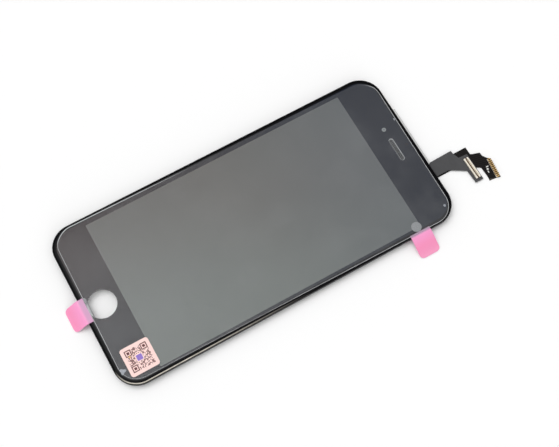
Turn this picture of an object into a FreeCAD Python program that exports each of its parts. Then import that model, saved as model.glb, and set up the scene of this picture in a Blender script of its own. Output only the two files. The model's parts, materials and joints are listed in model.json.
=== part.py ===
import FreeCAD, Part
import math
import os
import Sketcher

# A phone display assembly: cover glass, LCD panel, backlight and moulded frame, with its two
# flat flexes, protective film and pull tabs. Millimetres. X is across the screen, Y runs
# towards the earpiece end, +Z points out of the screen. The origin is the centre of the
# frame's outline, on the plane that its back rests on.

os.makedirs("parts", exist_ok=True)
doc = FreeCAD.newDocument("display_assembly")

dimensions = {
    # moulded frame
    "frame_width": 64.8,
    "frame_length": 135.3,
    "frame_corner": 8.8,
    "foot_inset": 0.35,
    "foot_height": 1.3,
    "side_rim": 1.6,
    "end_rim": 12.95,
    "lip_wall": 0.25,
    "lip_rise": 0.3,
    "lip_bevel": 0.1,
    "glass_gap": 0.05,
    "web_plate": 0.9,
    "recess_side": 3.0,
    "recess_end": 1.4,
    "end_wall": 1.4,
    "boss_wall": 1.0,
    # thickness of each layer, from the back plane up to the film
    "rear_space": 0.7,
    "tray_sheet": 0.15,
    "reflector_sheet": 0.08,
    "guide_plate": 0.45,
    "diffuser_sheet": 0.06,
    "lower_prism_sheet": 0.06,
    "upper_prism_sheet": 0.06,
    "rim_tape_sheet": 0.05,
    "rear_polariser_sheet": 0.1,
    "tft_plate": 0.2,
    "filter_plate": 0.2,
    "front_polariser_sheet": 0.1,
    "adhesive_sheet": 0.12,
    "print_sheet": 0.04,
    "glass_plate": 0.63,
    "film_sheet": 0.08,
    # cover glass and its print
    "edge_run": 1.3,
    "edge_drop": 0.2,
    "edge_round": 0.25,
    "print_inset": 0.2,
    "window_side_margin": 1.2,
    "window_end_margin": 2.0,
    "window_shift": 0.34,
    "window_corner": 0.3,
    "window_overlap": 0.8,
    # home button hole
    "home_radius": 5.3,
    "home_inset": 7.2,
    "home_chamfer": 0.15,
    "print_clearance": 0.15,
    "home_seat": 0.6,
    # earpiece slot, camera and sensor
    "earpiece_inset": 7.35,
    "slot_length": 9.4,
    "slot_width": 1.5,
    "slot_chamfer": 0.2,
    "mesh_clearance": 0.08,
    "mesh_flange": 0.7,
    "mesh_sheet": 0.15,
    "mesh_rise": 0.25,
    "mesh_hole": 0.25,
    "mesh_pitch": 0.45,
    "mesh_columns": 17,
    "camera_offset": 9.07,
    "camera_window": 1.0,
    "camera_ring_bore": 1.5,
    "camera_ring_radius": 2.75,
    "camera_ring_depth": 0.5,
    "camera_ring_chamfer": 0.3,
    "seat_clearance": 0.05,
    "sensor_inset": 3.1,
    "sensor_width": 4.4,
    "sensor_length": 2.2,
    "sensor_depth": 0.8,
    "sensor_window": 0.55,
    # backlight
    "tray_corner": 1.0,
    "tray_gap": 0.2,
    "fold_space": 1.5,
    "moulding_gap": 0.05,
    "moulding_wall": 0.7,
    "lamp_end_wall": 1.3,
    "sheet_gap": 0.1,
    "lamp_row": 1.9,
    "lamp_width": 3.0,
    "lamp_depth": 0.8,
    "lamp_height": 0.4,
    "lamp_count": 9,
    "lamp_end_inset": 3.5,
    "strip_inset": 1.0,
    # panel
    "panel_side_gap": 0.4,
    "panel_lower_gap": 0.8,
    "ledge": 2.0,
    "polariser_inset": 0.2,
    "chip_width": 18.0,
    "chip_depth": 0.8,
    "chip_height": 0.2,
    "chip_inset": 0.3,
    # flexes
    "flex_sheet": 0.12,
    "flex_gap": 0.03,
    "stiffener_sheet": 0.15,
    "bond_depth": 0.7,
    "fold_stand": 0.05,
    "rear_pad_depth": 10.6,
    "display_fold_left": 14.0,
    "display_fold_width": 22.0,
    "display_neck_left": 10.15,
    "display_neck_width": 5.6,
    "shoulder_reach": 5.75,
    "display_tip_reach": 4.8,
    "display_tip_lean": 0.6,
    "display_tip_rise": 0.15,
    "display_pad_reach": 6.1,
    "display_pad_shift": 3.45,
    "display_pad_width": 11.2,
    "display_pad_depth": 3.25,
    "display_pad_skew": 0.3,
    "display_elbow_shift": 5.7,
    "display_elbow_drop": 0.3,
    "touch_fold_inset": 2.8,
    "touch_fold_width": 11.0,
    "touch_root_depth": 4.0,
    "touch_neck_shift": 0.8,
    "touch_neck_width": 5.25,
    "touch_bend_reach": 3.0,
    "touch_step_reach": 10.5,
    "touch_step_shift": 3.15,
    "touch_step_drop": 0.05,
    "touch_slope_run": 0.4,
    "touch_slope_rise": 0.75,
    "touch_arm_shift": 4.4,
    "touch_arm_rise": 3.55,
    "touch_arm_width": 1.4,
    "touch_arm_drop": 0.1,
    "touch_head_shift": 8.25,
    "touch_head_rise": 5.78,
    "touch_head_width": 8.1,
    "touch_head_depth": 4.6,
    "touch_head_turn": 6.0,
    "touch_head_taper": 1.44,
    "touch_head_trim": 0.5,
    "touch_notch_run": 0.8,
    "touch_notch_drop": 1.15,
    "touch_skirt_run": 1.53,
    "touch_skirt_drop": 0.55,
    "touch_inner_run": 1.15,
    "touch_inner_rise": 0.1,
    "channel_clearance": 0.9,
    # connectors
    "contact_pitch": 0.35,
    "contact_width": 0.2,
    "contact_sheet": 0.06,
    "contact_leg": 0.4,
    "wall_thick": 0.42,
    "wall_height": 0.7,
    "floor_thick": 0.2,
    "end_block": 0.5,
    "display_contacts": 21,
    "display_trough": 0.95,
    "display_connector_shift": 5.7,
    "display_connector_rise": 1.8,
    "display_connector_turn": 0.6,
    "display_stiffener_length": 10.8,
    "display_stiffener_depth": 2.9,
    "touch_contacts": 18,
    "touch_trough": 0.45,
    "touch_connector_shift": 3.75,
    "touch_connector_drop": 1.36,
    "touch_stiffener_length": 7.6,
    "touch_stiffener_depth": 4.2,
    "touch_stiffener_setback": 1.32,
    # parts on the rear flexes
    "tape_sheet": 0.08,
    "tape_side_inset": 1.8,
    "tape_margin": 1.2,
    "tape_low_inset": 8.2,
    "tape_high_inset": 0.5,
    "touch_chip_size": 4.2,
    "touch_chip_height": 0.12,
    "capacitor_length": 1.0,
    "capacitor_width": 0.5,
    "capacitor_height": 0.15,
    "capacitor_pitch": 3.0,
    "capacitor_count": 6,
    "capacitor_start": 12.0,
    "capacitor_inset": 1.0,
    # metal fittings
    "bracket_sheet": 0.25,
    "bracket_length": 46.0,
    "bracket_inner_gap": 0.05,
    "bracket_width": 0.7,
    "ear_reach": 3.0,
    "ear_width": 3.2,
    "ear_spacing": 36.0,
    "ear_hole": 0.7,
    "ear_hole_inset": 1.5,
    "ear_round": 0.8,
    "hook_left": 15.35,
    "hook_width": 25.75,
    "hook_reach": 1.05,
    "hook_depth": 2.7,
    "hook_sheet": 0.3,
    "hook_slope": 0.5,
    "plate_sheet": 0.3,
    "plate_width": 5.0,
    "plate_length": 7.0,
    "plate_spacing": 25.0,
    "plate_inset": 6.65,
    "plate_hole": 0.6,
    "plate_round": 0.6,
    "plate_hole_relief": 0.15,
    "plate_hole_depth": 0.5,
    # film, label and tabs
    "film_side_inset": 1.25,
    "film_end_inset": 1.45,
    "film_corner": 7.4,
    "film_shift_x": 0.1,
    "film_shift_y": 0.1,
    "film_turn": 0.7,
    "film_clearance": 0.1,
    "label_side": 10.8,
    "label_corner": 1.0,
    "label_sheet": 0.08,
    "label_side_inset": 9.0,
    "label_end_inset": 10.05,
    "tab_sheet": 0.08,
    "side_tab_width": 8.05,
    "side_tab_inset": 17.15,
    "side_tab_lap": 0.98,
    "side_tab_reach": 7.9,
    "end_tab_width": 9.4,
    "end_tab_x": 0.4,
    "end_tab_lap": 1.95,
    "end_tab_reach": 5.55,
    "tab_rest": 0.1,
    "tab_bend": 0.9,
    "tab_stand": 0.35,
    "tab_corner": 1.6,
    "dot_sheet": 0.05,
    "side_dot_radius": 1.88,
    "side_dot_inset": 2.9,
    "side_dot_drop": 0.05,
    "end_dot_radius": 1.3,
    "end_dot_shift": 3.5,
    "end_dot_inset": 1.75,
    "end_dot_clearance": 0.03,
}

sheet = doc.addObject("Spreadsheet::Sheet", "sizes")
for row, (alias, number) in enumerate(dimensions.items(), start=1):
    sheet.set(f"A{row}", alias)
    sheet.set(f"B{row}", str(number))
    sheet.setAlias(f"B{row}", alias)
doc.recompute()


class Size:
    """A length together with the sheet expression that gives it."""

    def __init__(self, number, text):
        self.number = number
        self.text = text

    def __add__(self, other):
        other = plain(other)
        return Size(self.number + other.number, f"({self.text} + {other.text})")

    def __sub__(self, other):
        other = plain(other)
        return Size(self.number - other.number, f"({self.text} - {other.text})")

    def __mul__(self, other):
        other = plain(other)
        return Size(self.number * other.number, f"({self.text} * {other.text})")

    def __truediv__(self, other):
        other = plain(other)
        return Size(self.number / other.number, f"({self.text} / {other.text})")

    def __neg__(self):
        return Size(-self.number, f"(0 - {self.text})")


def plain(value):
    return value if isinstance(value, Size) else Size(value, str(value))


def size(alias):
    return Size(float(sheet.get(alias)), f"sizes.{alias}")


zero = plain(0)

layerSheets = [
    "rear_space", "tray_sheet", "reflector_sheet", "guide_plate", "diffuser_sheet",
    "lower_prism_sheet", "upper_prism_sheet", "rim_tape_sheet", "rear_polariser_sheet",
    "tft_plate", "filter_plate", "front_polariser_sheet", "adhesive_sheet", "print_sheet",
    "glass_plate", "film_sheet",
]


def under(layer):
    """Height of a layer's lower face: the layers beneath it, added up."""
    total = zero
    for below in layerSheets[:layerSheets.index(layer)]:
        total = total + size(below)
    return total


def bind(item, prop, length):
    item.setExpression(prop, plain(length).text)


partBodies = []


def newBody(label):
    body = doc.addObject("PartDesign::Body", label)
    body.Label = label
    partBodies.append(body)
    return body


def originPlane(body, role):
    return next(item for item in body.Origin.OriginFeatures if item.Role == role)


def newSketch(body, name, level=zero, role="XY_Plane"):
    sketch = body.newObject("Sketcher::SketchObject", f"{body.Label}_{name}")
    sketch.AttachmentSupport = [(originPlane(body, role), "")]
    sketch.MapMode = "FlatFace"
    bind(sketch, "AttachmentOffset.Base.z", level)
    return sketch


def placePoint(sketch, geometry, point, x, y):
    x, y = plain(x), plain(y)
    across = sketch.addConstraint(Sketcher.Constraint("DistanceX", -1, 1, geometry, point, x.number))
    bind(sketch, f"Constraints[{across}]", x)
    along = sketch.addConstraint(Sketcher.Constraint("DistanceY", -1, 1, geometry, point, y.number))
    bind(sketch, f"Constraints[{along}]", y)


def setRadius(sketch, geometry, radius):
    index = sketch.addConstraint(Sketcher.Constraint("Radius", geometry, plain(radius).number))
    bind(sketch, f"Constraints[{index}]", radius)


def drawOutline(sketch, corners):
    """Closed outline through corners (x, y) or (x, y, radius), drawn anticlockwise; an arc
    tangent to both sides rounds a corner, and a construction point holds the corner itself."""
    vector = FreeCAD.Vector
    points = [vector(plain(c[0]).number, plain(c[1]).number, 0) for c in corners]
    if sum(points[i - 1].cross(points[i]).z for i in range(len(points))) < 0:
        corners = corners[::-1]
        points = points[::-1]
    radii = [c[2] if len(c) > 2 else None for c in corners]
    count = len(corners)
    starts, ends, arcs = [], [], []
    for i in range(count):
        before = (points[i - 1] - points[i]).normalize()
        after = (points[(i + 1) % count] - points[i]).normalize()
        if radii[i] is None:
            starts.append(points[i])
            ends.append(points[i])
            arcs.append(None)
            continue
        radius = plain(radii[i]).number
        half = before.getAngle(after) / 2
        back = radius / math.tan(half)
        entry = points[i] + before * back
        leave = points[i] + after * back
        middle = (before + after).normalize()
        centre = points[i] + middle * (radius / math.sin(half))
        ends.append(entry)
        starts.append(leave)
        arcs.append(Part.Arc(entry, centre - middle * radius, leave))
    lines = []
    for i in range(count):
        line = Part.LineSegment(starts[i], ends[(i + 1) % count])
        lines.append(sketch.addGeometry(line, False))
    for i in range(count):
        arriving, leaving = lines[i - 1], lines[i]
        if arcs[i] is None:
            sketch.addConstraint(Sketcher.Constraint("Coincident", arriving, 2, leaving, 1))
            placePoint(sketch, leaving, 1, corners[i][0], corners[i][1])
            continue
        arc = sketch.addGeometry(arcs[i], False)
        sketch.addConstraint(Sketcher.Constraint("Tangent", arriving, 2, arc, 1))
        sketch.addConstraint(Sketcher.Constraint("Tangent", arc, 2, leaving, 1))
        setRadius(sketch, arc, radii[i])
        corner = sketch.addGeometry(Part.Point(points[i]), True)
        sketch.addConstraint(Sketcher.Constraint("PointOnObject", corner, 1, arriving))
        sketch.addConstraint(Sketcher.Constraint("PointOnObject", corner, 1, leaving))
        placePoint(sketch, corner, 1, corners[i][0], corners[i][1])


def drawRectangle(sketch, width, length, radius=None, x=zero, y=zero):
    """Rectangle about (x, y), with four equal corner arcs when a radius is given."""
    left, right = plain(x) - width / 2, plain(x) + width / 2
    low, high = plain(y) - length / 2, plain(y) + length / 2
    corners = [(left, low), (right, low), (right, high), (left, high)]
    if radius is not None:
        corners = [(cx, cy, radius) for cx, cy in corners]
    drawOutline(sketch, corners)


def drawCircle(sketch, radius, x=zero, y=zero):
    circle = Part.Circle(FreeCAD.Vector(plain(x).number, plain(y).number, 0),
                         FreeCAD.Vector(0, 0, 1), plain(radius).number)
    geometry = sketch.addGeometry(circle, False)
    placePoint(sketch, geometry, 3, x, y)
    setRadius(sketch, geometry, radius)


def drawSlot(sketch, length, width, x=zero, y=zero):
    """Slot along X with round ends: two half circles joined by tangent lines."""
    x, y = plain(x), plain(y)
    radius = width / 2
    reach = length / 2 - radius
    vector = FreeCAD.Vector
    cx, cy, r, run = x.number, y.number, radius.number, reach.number
    top = sketch.addGeometry(Part.LineSegment(vector(cx + run, cy + r, 0),
                                              vector(cx - run, cy + r, 0)), False)
    low = sketch.addGeometry(Part.LineSegment(vector(cx - run, cy - r, 0),
                                              vector(cx + run, cy - r, 0)), False)
    quarter = math.pi / 2
    rightCircle = Part.Circle(vector(cx + run, cy, 0), vector(0, 0, 1), r)
    leftCircle = Part.Circle(vector(cx - run, cy, 0), vector(0, 0, 1), r)
    right = sketch.addGeometry(Part.ArcOfCircle(rightCircle, -quarter, quarter), False)
    left = sketch.addGeometry(Part.ArcOfCircle(leftCircle, quarter, 3 * quarter), False)
    for first, firstEnd, second, secondEnd in ((low, 2, right, 1), (right, 2, top, 1),
                                               (top, 2, left, 1), (left, 2, low, 1)):
        sketch.addConstraint(Sketcher.Constraint("Tangent", first, firstEnd, second, secondEnd))
    sketch.addConstraint(Sketcher.Constraint("Equal", right, left))
    setRadius(sketch, right, radius)
    placePoint(sketch, right, 3, x + reach, y)
    placePoint(sketch, left, 3, x - reach, y)


def pad(body, sketch, length, upwards=True):
    feature = body.newObject("PartDesign::Pad", f"{sketch.Name}_pad")
    feature.Profile = sketch
    feature.Reversed = not upwards
    bind(feature, "Length", length)
    sketch.Visibility = False
    return feature


def pocket(body, sketch, depth=None):
    """Cut upwards from the sketch by depth, or both ways right through when it is left out."""
    feature = body.newObject("PartDesign::Pocket", f"{sketch.Name}_pocket")
    feature.Profile = sketch
    if depth is None:
        feature.Type = "ThroughAll"
        feature.SideType = "Symmetric"
    else:
        feature.Reversed = True
        bind(feature, "Length", depth)
    doc.recompute()
    before = feature.BaseFeature.Shape.Volume
    if feature.Shape.Volume >= before - 1e-9:
        raise ValueError(f"{feature.Name} cuts nothing")
    return feature


def dressEdges(body, kind, base, edges, **sizes):
    """Fillet or chamfer on the given edges of a feature."""
    feature = body.newObject(f"PartDesign::{kind}", f"{body.Label}_{kind}_{len(body.Group)}")
    feature.Base = (base, edges)
    if kind == "Chamfer" and "Size2" in sizes:
        feature.ChamferType = "Two distances"
    for prop, length in sizes.items():
        bind(feature, prop, length)
    doc.recompute()
    return feature


def wireEdgeNames(shape, height, inside):
    """Names of a shape's edges that lie at one height and pass a test on their middle."""
    names = []
    for number, edge in enumerate(shape.Edges, start=1):
        box = edge.BoundBox
        flat = abs(box.ZMin - height) < 1e-4 and abs(box.ZMax - height) < 1e-4
        if flat and inside(edge.CenterOfMass):
            names.append(f"Edge{number}")
    return names


def everywhere(middle):
    return True


def repeatAlongX(body, feature, count, pitch):
    pattern = body.newObject("PartDesign::LinearPattern", f"{feature.Name}_row")
    pattern.Originals = [feature]
    pattern.Direction = (originPlane(body, "X_Axis"), [""])
    bind(pattern, "Length", (count - 1) * pitch)
    bind(pattern, "Occurrences", count)
    body.Tip = pattern
    doc.recompute()
    return pattern


def layer(label, width, length, thickness, radius=None, y=zero):
    """One flat layer of the stack, at the height that the layers beneath it give."""
    body = newBody(label)
    sketch = newSketch(body, "outline", under(thickness))
    drawRectangle(sketch, width, length, radius, zero, y)
    pad(body, sketch, size(thickness))
    return body


frameWidth = size("frame_width")
frameLength = size("frame_length")
frameSide = frameWidth / 2
frameEnd = frameLength / 2
homeY = size("home_inset") - frameEnd
earpieceY = frameEnd - size("earpiece_inset")
sensorY = frameEnd - size("sensor_inset")
cameraX = -size("camera_offset")
lipInset = size("lip_wall") + size("glass_gap")
glassWidth = frameWidth - lipInset * 2
glassLength = frameLength - lipInset * 2
glassCorner = size("frame_corner") - lipInset
glassTop = under("film_sheet")
webTop = under("print_sheet")
webBottom = webTop - size("web_plate")
trayWidth = frameWidth - size("side_rim") * 2
trayLength = frameLength - size("end_rim") * 2
windowWidth = trayWidth - size("window_side_margin") * 2
windowLength = trayLength - size("window_end_margin") * 2
windowY = -size("window_shift")
plateY = size("plate_inset") - frameEnd
openingHalf = trayWidth / 2 + size("tray_gap")
openingLow = -(trayLength / 2 + size("tray_gap"))
openingHigh = trayLength / 2 + size("fold_space")
touchNeckLeft = size("display_neck_left") + size("touch_neck_shift")
touchNeckRight = touchNeckLeft + size("touch_neck_width")
touchFoldLeft = size("touch_fold_inset") - trayWidth / 2
touchLevel = size("stiffener_sheet")
displayLevel = touchLevel + size("flex_sheet") + size("flex_gap") + size("stiffener_sheet")


# Moulded frame: rim and lip round the glass, end webs with bosses, seats for the fittings.

def makeFrame():
    body = newBody("mid_frame")
    outline = newSketch(body, "outline")
    drawRectangle(outline, frameWidth, frameLength, size("frame_corner"))
    pad(body, outline, webTop + size("print_sheet") + size("lip_rise"))

    foot = newSketch(body, "foot")
    beyond = size("frame_corner")
    footInset = size("foot_inset")
    drawRectangle(foot, frameWidth + beyond, frameLength + beyond)
    drawRectangle(foot, frameWidth - footInset * 2, frameLength - footInset * 2,
                  size("frame_corner") - footInset)
    pocket(body, foot, size("foot_height"))

    seat = newSketch(body, "glass_seat", webTop)
    seatInset = size("lip_wall") * 2
    drawRectangle(seat, frameWidth - seatInset, frameLength - seatInset,
                  size("frame_corner") - size("lip_wall"))
    pocket(body, seat, size("print_sheet") + size("lip_rise"))

    recessHalf = frameSide - size("recess_side")
    recessFar = frameEnd - size("recess_end")
    recessRound = size("frame_corner") - size("recess_end")
    for name, near, sign in (("top_recess", openingHigh + size("end_wall"), 1),
                             ("low_recess", openingLow - size("end_wall"), -1)):
        recess = newSketch(body, name)
        far = recessFar * sign
        drawOutline(recess, [(-recessHalf, near), (recessHalf, near),
                             (recessHalf, far, recessRound), (-recessHalf, far, recessRound)])
        pocket(body, recess, webBottom)

    bosses = newSketch(body, "bosses")
    drawCircle(bosses, size("home_radius") + size("home_seat") + size("boss_wall"), zero, homeY)
    pad(body, bosses, webBottom)
    cameraBoss = newSketch(body, "camera_boss")
    cameraSeat = size("camera_ring_radius") + size("seat_clearance")
    drawCircle(cameraBoss, cameraSeat + size("boss_wall"), cameraX, earpieceY)
    pad(body, cameraBoss, webBottom)
    meshLength = size("slot_length") + size("mesh_flange") * 2
    meshWidth = size("slot_width") + size("mesh_flange") * 2
    pocketLength = meshLength + size("seat_clearance") * 2
    pocketWidth = meshWidth + size("seat_clearance") * 2
    earpieceBoss = newSketch(body, "earpiece_boss")
    drawSlot(earpieceBoss, pocketLength + size("boss_wall") * 2,
             pocketWidth + size("boss_wall") * 2, zero, earpieceY)
    pad(body, earpieceBoss, webBottom)

    through = newSketch(body, "display_opening")
    drawOutline(through, [(-openingHalf, openingLow), (openingHalf, openingLow),
                          (openingHalf, openingHigh), (-openingHalf, openingHigh)])
    pocket(body, through)
    home = newSketch(body, "home_opening")
    drawCircle(home, size("home_radius") + size("home_seat"), zero, homeY)
    pocket(body, home)
    ports = newSketch(body, "camera_port")
    drawCircle(ports, cameraSeat, cameraX, earpieceY)
    pocket(body, ports)
    earpiece = newSketch(body, "earpiece_port")
    drawSlot(earpiece, pocketLength, pocketWidth, zero, earpieceY)
    pocket(body, earpiece)
    sensor = newSketch(body, "sensor_port")
    drawRectangle(sensor, size("sensor_width") + size("seat_clearance") * 2,
                  size("sensor_length") + size("seat_clearance") * 2,
                  None, zero, sensorY)
    pocket(body, sensor)

    channel = newSketch(body, "flex_channel")
    channelLeft = size("display_neck_left") - size("channel_clearance")
    channelRight = touchNeckRight + size("channel_clearance")
    outside = frameEnd + size("frame_corner")
    inside = openingHigh - size("end_wall")
    drawOutline(channel, [(channelLeft, inside), (channelRight, inside),
                          (channelRight, outside), (channelLeft, outside)])
    pocket(body, channel, displayLevel + size("flex_sheet") + size("seat_clearance"))

    notch = newSketch(body, "hook_notch")
    notchLeft = -size("hook_left") - size("seat_clearance")
    notchRight = notchLeft + size("hook_width") + size("seat_clearance") * 2
    hookRoot = frameEnd + size("hook_reach") - size("hook_depth")
    drawOutline(notch, [(notchLeft, hookRoot - size("seat_clearance")),
                        (notchRight, hookRoot - size("seat_clearance")),
                        (notchRight, outside), (notchLeft, outside)])
    pocket(body, notch, webBottom)

    for name, sign in (("left", -1), ("right", 1)):
        groove = newSketch(body, f"{name}_bracket_groove")
        width = size("bracket_width") + size("bracket_inner_gap") * 2
        middle = (openingHalf + width / 2) * sign
        drawRectangle(groove, width, size("bracket_length") + size("bracket_inner_gap") * 2,
                      None, middle, zero)
        pocket(body, groove, size("bracket_sheet"))
        screw = newSketch(body, f"{name}_screw_relief", webBottom)
        drawCircle(screw, size("plate_hole") + size("plate_hole_relief"),
                   size("plate_spacing") / 2 * sign, plateY)
        pocket(body, screw, size("plate_hole_depth"))

    base = body.Tip
    halfWidth, halfLength = frameSide.number, frameEnd.number
    corner = size("frame_corner").number

    def onOutline(centre):
        far = abs(centre.x) > halfWidth - 0.01 or abs(centre.y) > halfLength - 0.01
        return far or (abs(centre.x) > halfWidth - corner / 2 and abs(centre.y) > halfLength - corner)

    top = (webTop + size("print_sheet") + size("lip_rise")).number
    dressEdges(body, "Chamfer", base, wireEdgeNames(base.Shape, top, onOutline),
               Size=size("lip_bevel"))


# Cover glass: a plate whose top edge falls away in a shallow curve all round.

def makeGlass():
    body = newBody("cover_glass")
    sketch = newSketch(body, "outline", under("glass_plate"))
    drawRectangle(sketch, glassWidth, glassLength, glassCorner)
    drawCircle(sketch, size("home_radius"), zero, homeY)
    drawSlot(sketch, size("slot_length"), size("slot_width"), zero, earpieceY)
    base = pad(body, sketch, size("glass_plate"))
    doc.recompute()
    top = glassTop.number

    def onRim(centre):
        return (abs(centre.x) > glassWidth.number / 2 - glassCorner.number / 2
                or abs(centre.y) > glassLength.number / 2 - glassCorner.number / 2)

    def atHome(centre):
        return math.hypot(centre.x, centre.y - homeY.number) < size("home_radius").number

    def atSlot(centre):
        return (abs(centre.x) < size("slot_length").number
                and abs(centre.y - earpieceY.number) < size("slot_width").number)

    slope = dressEdges(body, "Chamfer", base, wireEdgeNames(base.Shape, top, onRim),
                       Size=size("edge_drop"), Size2=size("edge_run"))
    homeEdge = dressEdges(body, "Chamfer", slope, wireEdgeNames(slope.Shape, top, atHome),
                          Size=size("home_chamfer"))
    slotEdge = dressEdges(body, "Chamfer", homeEdge, wireEdgeNames(homeEdge.Shape, top, atSlot),
                          Size=size("slot_chamfer"))
    shoulder = (glassTop - size("edge_drop")).number
    dressEdges(body, "Fillet", slotEdge, wireEdgeNames(slotEdge.Shape, shoulder, onRim),
               Radius=size("edge_round"))


# Black print under the glass, open at the window, hole, slot, camera and sensor.

def makePrint():
    body = newBody("border_print")
    sketch = newSketch(body, "outline", under("print_sheet"))
    inset = size("print_inset")
    drawRectangle(sketch, glassWidth - inset * 2, glassLength - inset * 2, glassCorner - inset)
    drawRectangle(sketch, windowWidth, windowLength, size("window_corner"),
                  zero, windowY)
    drawCircle(sketch, size("home_radius"), zero, homeY)
    drawSlot(sketch, size("slot_length") + size("print_clearance") * 2,
             size("slot_width") + size("print_clearance") * 2, zero, earpieceY)
    drawCircle(sketch, size("camera_window"), cameraX, earpieceY)
    drawCircle(sketch, size("sensor_window"), zero, sensorY)
    pad(body, sketch, size("print_sheet"))


# LCD panel: adhesive, polarisers and the two glass plates, the lower one with a bonding ledge.

panelWidth = trayWidth - size("panel_side_gap") * 2
panelLow = -(trayLength / 2 - size("panel_lower_gap"))
ledgeEdge = trayLength / 2 + size("tray_gap")
filterHigh = ledgeEdge - size("ledge")


def makePanel():
    upperMiddle = (filterHigh + panelLow) / 2
    upperLength = filterHigh - panelLow
    inset = size("polariser_inset") * 2
    overlap = size("window_overlap") * 2
    layer("optical_adhesive", windowWidth + overlap, windowLength + overlap / 2,
          "adhesive_sheet", None, windowY)
    layer("front_polariser", panelWidth - inset, upperLength - inset, "front_polariser_sheet",
          None, upperMiddle)
    layer("colour_filter_glass", panelWidth, upperLength, "filter_plate", None, upperMiddle)
    layer("tft_glass", panelWidth, ledgeEdge - panelLow, "tft_plate", None,
          (ledgeEdge + panelLow) / 2)
    layer("rear_polariser", panelWidth - inset, upperLength - inset, "rear_polariser_sheet",
          None, upperMiddle)
    chip = newBody("driver_chip")
    sketch = newSketch(chip, "outline", under("filter_plate"))
    drawRectangle(sketch, size("chip_width"), size("chip_depth"), None, zero,
                  filterHigh + size("chip_inset") + size("chip_depth") / 2)
    pad(chip, sketch, size("chip_height"))


# Backlight: folded steel tray, white moulding, light guide, films and the row of lamps.

def makeBacklight():
    tray = newBody("backlight_tray")
    outline = newSketch(tray, "outline", under("tray_sheet"))
    drawRectangle(outline, trayWidth, trayLength, size("tray_corner"))
    trayDepth = under("rim_tape_sheet") - under("tray_sheet")
    pad(tray, outline, trayDepth)
    inside = newSketch(tray, "inside", under("reflector_sheet"))
    wall = size("tray_sheet") * 2
    drawRectangle(inside, trayWidth - wall, trayLength - wall,
                  size("tray_corner") - size("tray_sheet"))
    pocket(tray, inside, trayDepth)

    gap = size("tray_sheet") + size("moulding_gap")
    mouldWidth = trayWidth - gap * 2
    mouldLength = trayLength - gap * 2
    innerWidth = mouldWidth - size("moulding_wall") * 2
    innerLow = -(mouldLength / 2 - size("lamp_end_wall"))
    innerHigh = mouldLength / 2 - size("lamp_end_wall")
    moulding = newBody("backlight_moulding")
    ring = newSketch(moulding, "ring", under("reflector_sheet"))
    drawRectangle(ring, mouldWidth, mouldLength, size("tray_corner") - size("tray_sheet"))
    drawOutline(ring, [(-innerWidth / 2, innerLow), (innerWidth / 2, innerLow),
                       (innerWidth / 2, innerHigh), (-innerWidth / 2, innerHigh)])
    pad(moulding, ring, under("rim_tape_sheet") - under("reflector_sheet"))

    sheetWidth = innerWidth - size("sheet_gap") * 2
    sheetHigh = innerHigh - size("sheet_gap")
    sheetLow = innerLow + size("sheet_gap")
    guideLow = sheetLow + size("lamp_row")
    for label, thickness, low in (("reflector_film", "reflector_sheet", guideLow),
                                  ("light_guide", "guide_plate", guideLow),
                                  ("diffuser_film", "diffuser_sheet", sheetLow),
                                  ("lower_prism_film", "lower_prism_sheet", sheetLow),
                                  ("upper_prism_film", "upper_prism_sheet", sheetLow)):
        layer(label, sheetWidth, sheetHigh - low, thickness, None, (sheetHigh + low) / 2)

    tape = newBody("rim_tape")
    frameTape = newSketch(tape, "ring", under("rim_tape_sheet"))
    inset = size("polariser_inset")
    tapeHigh = trayLength / 2 - gap
    tapeLow = panelLow
    drawRectangle(frameTape, panelWidth, tapeHigh - tapeLow, None, zero, (tapeHigh + tapeLow) / 2)
    drawRectangle(frameTape, windowWidth + inset, windowLength + inset, None,
                  zero, windowY)
    pad(tape, frameTape, size("rim_tape_sheet"))

    strip = newBody("lamp_strip")
    stripSketch = newSketch(strip, "outline", under("reflector_sheet"))
    stripDepth = size("lamp_row") - size("sheet_gap")
    stripMiddle = sheetLow + stripDepth / 2
    drawRectangle(stripSketch, sheetWidth - size("strip_inset") * 2, stripDepth, None, zero,
                  stripMiddle)
    pad(strip, stripSketch, size("reflector_sheet"))
    lamps = newBody("side_lamps")
    lampSketch = newSketch(lamps, "first", under("guide_plate"))
    lampRun = sheetWidth - size("lamp_end_inset") * 2 - size("lamp_width")
    drawRectangle(lampSketch, size("lamp_width"), size("lamp_depth"), None, -lampRun / 2,
                  guideLow - size("sheet_gap") - size("lamp_depth") / 2)
    first = pad(lamps, lampSketch, size("lamp_height"))
    repeatAlongX(lamps, first, size("lamp_count"), lampRun / (size("lamp_count") - 1))


# Earpiece mesh, camera ring and sensor holder, each glued behind its window in the print.

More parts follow.
